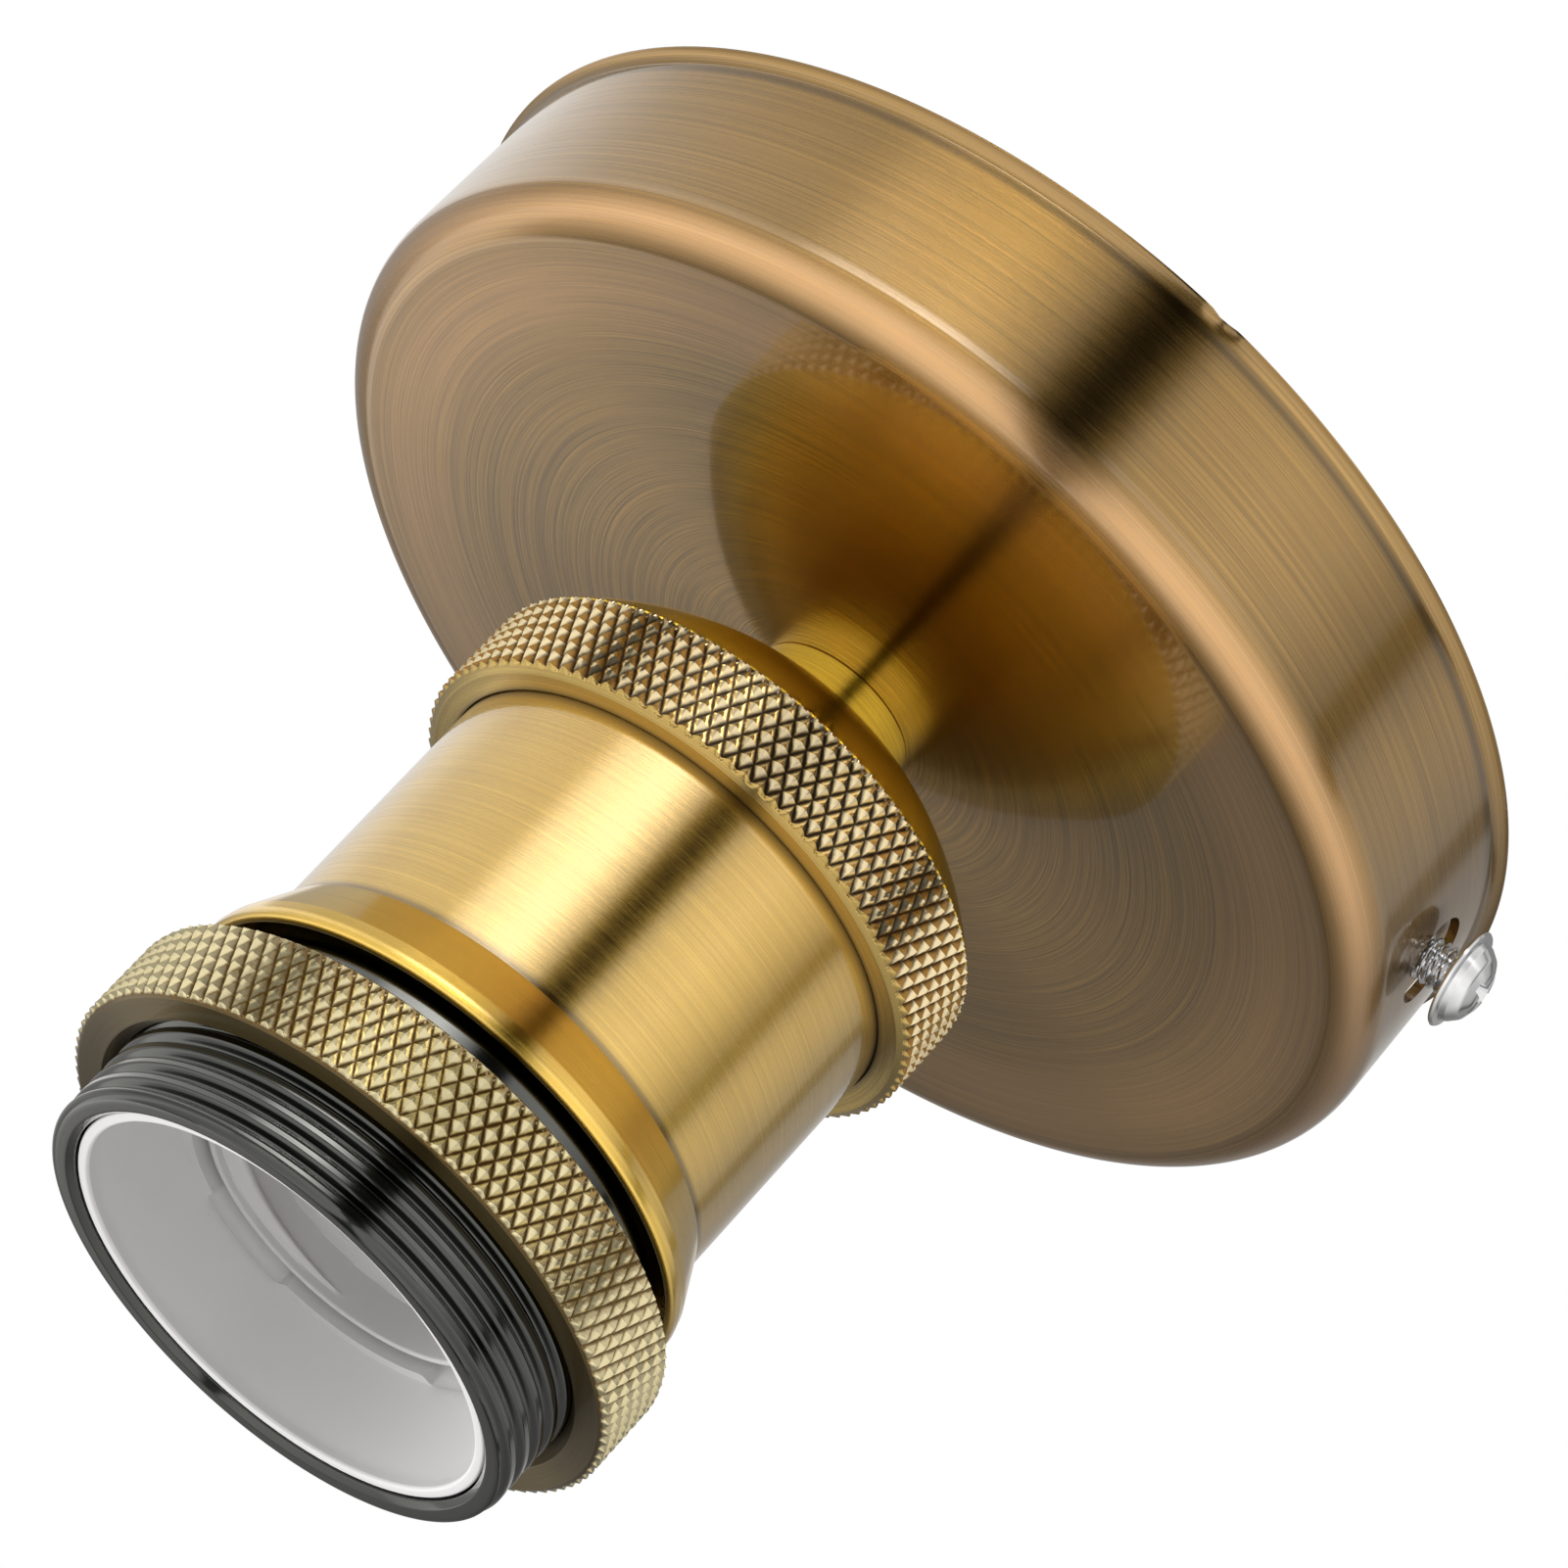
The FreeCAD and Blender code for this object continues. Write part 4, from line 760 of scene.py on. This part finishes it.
class BarrelOperator(Step, bpy.types.Operator):
    """Turn the black barrel and cut its right-hand shade thread"""

    bl_idname = "holder.barrel"
    bl_label = "Threaded barrel"

    def execute(self, context):
        sizes = context.scene.holder_sizes
        pitch = sizes.thread_pitch / MM
        depth = sizes.thread_depth / MM
        crest = 21.5
        low = MOUTH
        start = low + 0.35
        end = low + 13.8

        def thread(radius, level, turn):
            """The groove is depth times smoothstep(1 - turns off its middle / 0.37), and
            runs out over the thread's last 0.8 mm."""
            phase = ((level - start) / pitch - turn / TAU) % 1
            groove = 1 - np.clip((0.5 - np.abs(phase - 0.5)) / 0.37, 0, 1)
            groove = groove * groove * (3 - 2 * groove)
            fade = np.clip((end - level) / 0.8, 0, 1)
            cut = np.minimum(radius, crest - depth * groove * fade)
            return np.where((radius > crest - depth) & (level < end), cut, radius)

        outline = np.vstack([
            rounded([(19.4, low + 12.0), (19.4, low + 0.45, 0.15), (19.85, low, 0.1),
                     (20.1, low)], 4, False),
            divided((20.3, low), (20.8, low), 0.2),
            bend((20.85, low + 0.65), 0.65, -90, 0, 8),
            divided((crest, low + 0.72), (crest, end), 0.06),
            [(crest, end), (21.2, end + 0.3)],
            divided((21.2, end + 0.5), (21.2, low + 17.75), 0.5),
            bend((20.75, low + 17.75), 0.45, 0, 90, 6),
            rounded([(20.7, low + 18.2), (20.2, low + 18.2, 0.1), (20.2, low + 23.3, 0.1),
                     (19.8, low + 24.15, 0.1), (19.8, low + 55.4, 0.2), (18.6, low + 55.4, 0.2),
                     (18.6, low + 15.0, 0), (19.4, low + 15.0, 0)], 4, False),
        ])
        piece = turned("barrel_with_thread", outline, 224, thread)
        finish(piece, "black_nickel")
        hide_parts("threaded_barrel")
        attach(piece, "holder")
        return {"FINISHED"}


class ShadeRingOperator(Step, bpy.types.Operator):
    """Turn the shade ring and cut the knurl into it"""

    bl_idname = "holder.shade_ring"
    bl_label = "Shade ring"

    def execute(self, context):
        sizes = context.scene.holder_sizes
        low = RING_LOW
        high = RING_HIGH
        crest = reach("shade_ring")
        band_low = low + 0.41
        band_high = high - 0.4
        outline = np.vstack([
            rounded([(21.55, low + 4.0), (21.55, low + 0.9, 0.1), (22.45, low, 0.08),
                     (24.6, low, 0.05), (24.66, low + 0.035)], 4, False),
            divided((24.7, low + 0.058), (crest, band_low), 0.1),
            band_rows(crest, band_low, band_high, sizes.knurl_height / MM),
            divided((crest, band_high), (24.6, high), 0.12),
            [(24.55, high), (21.55, high)],
        ])
        piece = knurled("knurled_shade_ring", outline, (band_low, band_high, crest),
                        sizes.ring_cells, sizes)
        paint(piece, ["pale_knurl", "olive_brass"], lambda radius, level: np.where(
            (level > low + 0.06) & (level < high - 0.06) & (radius > 24.0), 0, 1))
        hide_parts("shade_ring")
        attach(piece, "shade_ring")
        return {"FINISHED"}


class LinerOperator(Step, bpy.types.Operator):
    """Turn the white liner with its rolled rim"""

    bl_idname = "holder.liner"
    bl_label = "Liner"

    def execute(self, context):
        low = LINER_LOW
        front = MOUTH + 8.35
        foot = low + 10.45
        throat = 14.7
        lands = 4
        first_land = math.radians(86.9)
        half_land = math.radians(27.5)

        def cone(level):
            """The funnel's inner radius, falling in a line from the rim to the throat."""
            return np.interp(level, [low + 0.42, foot], [18.35, throat])

        def landed(radius, level, turn):
            """Four arcs round the funnel's foot stand in to the throat, each by
            1 / (1 + exp((|t| - half its length) / 0.006))."""
            apart = TAU / lands
            off = (turn - first_land + apart / 2) % apart - apart / 2
            arc = 1 / (1 + np.exp((np.abs(off) - half_land) / 0.006))
            inside = (level > front + 0.01) & (level < foot + 0.05)
            return np.where(inside & (radius < cone(level) + 0.05),
                            radius + (throat + 0.02 - radius) * arc, radius)

        levels = np.linspace(front, low + 0.9, 14)
        outline = np.vstack([
            rounded([(18.1, low + 0.9), (18.35, low, 0.25), (19.25, low, 0.25),
                     (19.25, low + 1.35, 0.4), (15.6, foot, 0.5), (15.6, low + 12.45, 0.1),
                     (throat, low + 12.45, 0.1), (throat, foot)], 8, False)[1:],
            [(cone(foot - 0.4), foot - 0.4), (cone(front + 0.7), front + 0.7),
             (cone(front), front + 0.12), (cone(front), front + 0.03)],
            np.column_stack([cone(levels), levels]),
        ])
        piece = turned("white_liner", outline, 360, landed)
        # The rim's faces get the lighter white, a painted highlight.
        paint(piece, ["moulded_white", "painted_lit_rim_white"],
              lambda radius, level: np.where((level < low + 0.3) & (radius > 18.2), 1, 0))
        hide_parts("liner")
        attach(piece, "holder")
        return {"FINISHED"}


class CoreOperator(Step, bpy.types.Operator):
    """Turn the moulded core, run the lamp thread's ridge up its bore and cut its pockets"""

    bl_idname = "holder.core"
    bl_label = "Core"

    def execute(self, context):
        lip = MOUTH + 9.1
        floor = lip + 26.9
        back = low_and_high("socket_core")[1]
        base = LINER_LOW + 12.45
        seat = base + 2.0
        bore = 13.4
        flange = 19.25
        pitch = 3.6
        height = 1.1
        start = math.radians(96.4)
        grow = math.radians(56)
        end = math.radians(900)
        shrink = math.radians(40)

        def ridge(radius, level, turn):
            """The ridge rises along z = start + pitch t / 2 pi as half a sine wave 1.9 mm
            wide, and swells from nothing to its full height as (t / grow)^0.75."""
            reach_in = np.zeros_like(radius)
            for wind in range(-1, 4):
                gone = (turn - start) % TAU + TAU * wind
                middle = lip + 1.05 + pitch * gone / TAU
                grown = np.clip(gone / grow, 0, 1) ** 0.75
                ended = np.clip((end - gone) / shrink, 0, 1)
                wide = 0.95 * np.maximum(grown, 0.05)
                swell = np.clip(1 - np.abs(level - middle) / wide, 0, 1)
                hump = np.sin(swell * math.pi / 2) * height * grown * ended
                reach_in = np.maximum(reach_in, np.where(gone >= 0, hump, 0))
            wall = (radius > bore - 0.1) & (radius < bore + 0.05)
            return np.where(wall & (level < floor - 1.0) & (level > lip + 0.1),
                            radius - reach_in, radius)

        def slotted(radius, level, turn):
            """Cuts the bore's wall back to x = 13.9, a flat slot behind the side contact."""
            wall = (radius > bore - 0.1) & (radius < bore + 0.1)
            slot = (np.abs(radius * np.sin(turn)) < 2.8) & (np.cos(turn) > 0)
            return np.where(wall & slot & (level > floor - 9.8), 13.9 / np.cos(turn),
                            ridge(radius, level, turn))

        outline = np.vstack([
            rounded([(bore, lip + 0.3), (bore, lip, 0.22), (13.95, lip, 0.25),
                     (13.95, base - 1.0, 0.1), (14.65, base - 1.0, 0.1), (14.65, base, 0.1),
                     (flange, base, 0.1), (flange, seat, 0.1), (18.35, seat, 0.1),
                     (18.35, back, 0.6), (0.4, back)], 5, False),
            [(0.02, back), (0.02, floor), (0.4, floor), (bore - 0.4, floor),
             (bore, floor - 0.4), (bore, floor - 3.0)],
            divided((bore, lip + 18.5), (bore, lip + 0.3), 0.14),
        ])
        piece = turned("moulded_core", outline, 256, slotted)

        def pocket(name, flat, low, high):
            """A cutter between two levels, from its points across the axis."""
            return prism(name, *[np.column_stack([flat, np.full(len(flat), level)])
                                 for level in (low, high)])

        corners = np.array([(-3.1, -4.6), (3.1, -4.6), (3.1, 4.6), (-3.1, 4.6)])
        circle = TAU * np.arange(32) / 32
        rivet = 1.1 * np.column_stack([np.cos(circle), np.sin(circle)])
        cutters = [pocket("seat_cutter", corners + (middle, 0), back - 0.8, back + 1.0)
                   for middle in (-9.3, 9.3)]
        cutters += [pocket("rivet_cutter", rivet + (middle, 0), floor - 1.0, back - 0.4)
                    for middle in (-9.0, 9.6)]
        cut_away(piece, cutters)
        finish(piece, "moulded_white")
        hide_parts("socket_core")
        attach(piece, "holder")
        return {"FINISHED"}


class ScrewsOperator(Step, bpy.types.Operator):
    """Turn the two canopy screws: flange, dished pan head, thread and cross recess"""

    bl_idname = "holder.screws"
    bl_label = "Canopy screws"

    def execute(self, context):
        pitch = context.scene.holder_sizes.screw_pitch / MM
        shank = 10.0

        def thread(radius, level, turn):
            """The groove is 0.36 (1 - cos 2 pi (z / pitch - t / 2 pi)) / 2 deep."""
            phase = ((level + shank) / pitch - turn / TAU) % 1
            groove = 0.5 - 0.5 * np.cos(TAU * phase)
            return np.where((radius > 1.9) & (radius < 2.0) & (level < -0.35),
                            radius - 0.36 * groove, radius)

        outline = np.vstack([
            [(0.01, -shank), (1.3, -shank)],
            divided((1.94, -9.35), (1.95, -0.3), 0.09),
            rounded([(1.95, -0.3), (1.95, 0.0, 0.05), (4.05, 0.0, 0.06), (4.2, 0.2, 0.08),
                     (4.05, 0.42, 0.1), (3.5, 0.5, 0.12), (3.3, 1.0, 0.5), (2.7, 1.75, 0.8),
                     (1.5, 2.34, 1.5), (0.01, 2.38)], 5, False),
        ])
        arm = np.array([(2.0, 0.42), (0.5, 0.5), (0.42, 2.0)])
        turns = [np.array([[math.cos(a), math.sin(a)], [-math.sin(a), math.cos(a)]])
                 for a in TAU * np.arange(4) / 4]
        cross = np.vstack([arm @ turn for turn in turns])
        deep = np.column_stack([cross * 0.62, np.full(12, 1.0)])
        wide = np.column_stack([cross * 1.06, np.full(12, 2.6)])
        screws = ((1, 24.0, "canopy_screw_right"), (-1, 61.0, "canopy_screw_left"))
        for side, spin, node_name in screws:
            piece = turned(node_name.replace("canopy_screw", "pan_screw"), outline, 72, thread)
            cut_away(piece, [prism("recess_cutter", deep, wide)])
            low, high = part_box(node_name)
            tip = (low.x if side > 0 else high.x) / MM
            seat = tip + shank * side
            turn = (Matrix.Rotation(math.radians(90 * side), 4, "Y")
                    @ Matrix.Rotation(math.radians(spin), 4, "Z"))
            place = Matrix.Translation((seat * MM, 0, (low.z + high.z) / 2))
            piece.data.transform(place @ turn)
            finish(piece, "bright_zinc")
            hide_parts(node_name)
            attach(piece, node_name)
        return {"FINISHED"}


# Studio


TOWARD_CAMERA = (0.3486, -0.9373, 0.0)


def linked(scene, name, data):
    """Adds an object to the scene."""
    made = bpy.data.objects.new(name, data)
    scene.collection.objects.link(made)
    return made


class StudioOperator(Step, bpy.types.Operator):
    """Set the camera, the floor and the soft studio light"""

    bl_idname = "holder.studio"
    bl_label = "Studio"

    def execute(self, context):
        scene = context.scene
        toward = Vector(TOWARD_CAMERA)
        side = Vector((-toward.y, toward.x, 0.0))
        up = Vector((0.0, 0.0, 1.0))

        camera_data = bpy.data.cameras.new("camera")
        camera_data.lens = 177.8
        camera_data.sensor_width = 36.0
        camera_data.clip_start = 0.01
        camera = linked(scene, "camera", camera_data)
        right = 0.31784 * toward + 0.73172 * side + 0.60296 * up
        above = 0.33898 * toward - 0.68160 * side + 0.64847 * up
        behind = 0.88548 * toward - 0.00172 * side - 0.46468 * up
        place = Vector((0.1842, -0.4954, -0.3040))
        turn = Matrix((right, above, behind)).transposed()
        camera.matrix_world = Matrix.Translation(place) @ turn.to_4x4()
        scene.camera = camera

        far = 15.0
        level = -0.9
        floor_mesh = bpy.data.meshes.new("floor")
        floor_mesh.from_pydata([(-far, -far, level), (far, -far, level), (far, far, level),
                                (-far, far, level)], [], [(0, 1, 2, 3)])
        floor = linked(scene, "floor", floor_mesh)
        floor.visible_glossy = False
        feed(*new_material("pale_floor"), {
            "Base Color": (0.85, 0.85, 0.85, 1), "Roughness": 0.8})
        finish(floor, "pale_floor")

        lamp_data = bpy.data.lights.new("side_box", "AREA")
        lamp_data.size = 0.7
        lamp_data.energy = 1.15
        lamp_data.spread = math.radians(60)
        lamp = linked(scene, "side_box", lamp_data)
        lamp.visible_glossy = False
        lamp.visible_camera = False
        way = (-0.50 * toward - 0.60 * side - 0.62 * up).normalized()
        aim = way.to_track_quat("Z", "Y").to_matrix().to_4x4()
        lamp.matrix_world = Matrix.Translation(way) @ aim
        make_world(scene)
        scene.view_settings.view_transform = "Standard"
        return {"FINISHED"}


# Brightness of the light tent by azimuth from the camera's side, in degrees: soft boxes
# all round above the level and below it, with a dark gap at the camera, and in each half
# a narrow strip laid over them
UPPER_RING = [
    (-180, 0.30), (-160, 0.35), (-128, 0.50), (-112, 0.45), (-96, 0.55), (-80, 0.60),
    (-64, 0.60), (-50, 0.45), (-40, 0.25), (-30, 0.30), (-22, 0.45), (-16, 0.50), (-11, 0.0),
    (3, 0.0), (8, 0.78), (16, 0.85), (32, 1.00), (48, 0.95), (56, 0.75), (66, 0.55),
    (69, 0.05), (74, 0.05), (78, 0.72), (96, 0.65), (115, 0.42), (118, 0.03), (123, 0.03),
    (127, 0.38), (144, 0.28), (180, 0.30)]
LOWER_RING = [
    (-180, 0.22), (-160, 0.28), (-140, 0.60), (-100, 1.1), (-40, 1.4), (-14, 1.2), (-9, 0.1),
    (3, 0.1), (10, 1.2), (40, 1.3), (100, 0.9), (140, 0.25), (160, 0.12), (180, 0.22)]
UPPER_STRIP = [
    (-180, 0.4), (-160, 0.6), (-128, 0.8), (-96, 1.0), (-64, 1.0), (-54, 4.0), (-46, 5.0),
    (-38, 6.5), (-30, 6.8), (-24, 4.4), (-16, 1.5), (-11, 0.0), (2, 0.0), (7, 0.8), (32, 0.8),
    (44, 0.3), (64, 0.0), (80, 0.2), (112, 0.2), (150, 0.1), (180, 0.4)]
LOWER_STRIP = [
    (-180, 0.08), (-177, 0.4), (-172, 0.88), (-164, 0.85), (-140, 0.6), (-100, 0.4),
    (-20, 0.2), (-8, 0.0), (5, 0.0), (20, 0.2), (100, 0.1), (165, 0.0), (180, 0.06)]


def ring_ramp(tree, share, stops):
    """Brightness round the studio from (azimuth, brightness) stops. A ramp holds shares of
    the brightest stop, which it is multiplied by again."""
    top = max(value for azimuth, value in stops)
    ramp = node(tree, "ShaderNodeValToRGB", {0: share})
    bar = ramp.color_ramp
    bar.elements.remove(bar.elements[-1])
    for index, (azimuth, value) in enumerate(stops):
        place = (azimuth + 180) / 360
        element = bar.elements[0] if index == 0 else bar.elements.new(place)
        element.position = place
        element.color = (value / top, value / top, value / top, 1)
    return sums(tree, "MULTIPLY", ramp.outputs[0], top)


def background(tree, colour, strength):
    """The output of a Background shader."""
    return node(tree, "ShaderNodeBackground", {
        "Color": (*colour, 1.0), "Strength": strength}).outputs[0]


def make_world(scene):
    """A light tent: soft boxes round the object with a dark gap at the camera, a plain
    white for what the camera sees past the object, and an even fill for matt surfaces."""
    world = bpy.data.worlds.new("studio")
    scene.world = world
    world.use_nodes = True
    tree = world.node_tree
    tree.nodes.clear()
    way = node(tree, "ShaderNodeTexCoord").outputs["Generated"]
    level = split(tree, way)[2]
    camera_turn = math.atan2(TOWARD_CAMERA[1], TOWARD_CAMERA[0])
    spun = node(tree, "ShaderNodeVectorRotate", {"Vector": way, "Angle": -camera_turn},
                rotation_type="Z_AXIS").outputs[0]
    along, across, _ = split(tree, spun)
    azimuth = sums(tree, "ARCTAN2", across, along)
    share = sums(tree, "MULTIPLY_ADD", azimuth, 1 / TAU, 0.5)
    upper, lower, high_strip, low_strip = [
        ring_ramp(tree, share, stops)
        for stops in (UPPER_RING, LOWER_RING, UPPER_STRIP, LOWER_STRIP)]
    rise = mapped(tree, level, -0.25, 0.15, smooth=True)
    strength = node(tree, "ShaderNodeMix", {0: rise, 2: lower, 3: upper}).outputs[0]
    for strip, middle, half in ((high_strip, 0.45, 0.106), (low_strip, -0.46, 0.16)):
        off = sums(tree, "ABSOLUTE", sums(tree, "SUBTRACT", level, middle))
        near = mapped(tree, off, half, half * 0.5, smooth=True)
        strength = sums(tree, "MULTIPLY_ADD", strip, near, strength)
    sideways = sums(tree, "ABSOLUTE", across)
    tent = background(tree, (1.0, 0.98, 0.95), strength)
    fill = background(tree, (1, 1, 1), sums(tree, "MULTIPLY_ADD", sideways, 1.0, 0.3))
    white = background(tree, (1, 1, 1), 1.0)
    path = node(tree, "ShaderNodeLightPath").outputs
    matt = node(tree, "ShaderNodeMixShader", {0: path["Is Diffuse Ray"], 1: tent, 2: fill})
    seen = node(tree, "ShaderNodeMixShader", {
        0: path["Is Camera Ray"], 1: matt.outputs[0], 2: white})
    node(tree, "ShaderNodeOutputWorld", {0: seen.outputs[0]})


class HolderPanel(bpy.types.Panel):
    """Lists the sizes, the colours and the steps in the sidebar"""

    bl_idname = "VIEW3D_PT_lamp_holder"
    bl_label = "Lamp Holder"
    bl_space_type = "VIEW_3D"
    bl_region_type = "UI"
    bl_category = "Lamp Holder"

    def draw(self, context):
        layout = self.layout
        for group in (context.scene.holder_sizes, context.scene.holder_colours):
            for name in group.__annotations__:
                layout.prop(group, name)
        for step in STEPS:
            layout.operator(step.bl_idname)


STEPS = (FinishesOperator, CanopyOperator, CapOperator, ShellOperator, BarrelOperator,
         ShadeRingOperator, LinerOperator, CoreOperator, ScrewsOperator, StudioOperator)
CLASSES = (HolderSizes, HolderColours) + STEPS + (HolderPanel,)


def register():
    """Register the classes and hang the property groups on the scene."""
    for kind in CLASSES:
        bpy.utils.register_class(kind)
    bpy.types.Scene.holder_sizes = bpy.props.PointerProperty(type=HolderSizes)
    bpy.types.Scene.holder_colours = bpy.props.PointerProperty(type=HolderColours)


def unregister():
    """Take the classes and the property groups away."""
    del bpy.types.Scene.holder_colours
    del bpy.types.Scene.holder_sizes
    for kind in reversed(CLASSES):
        bpy.utils.unregister_class(kind)


def main():
    """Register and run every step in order."""
    register()
    for step in STEPS:
        group, name = step.bl_idname.split(".")
        getattr(getattr(bpy.ops, group), name)()


if __name__ == "__main__":
    main()
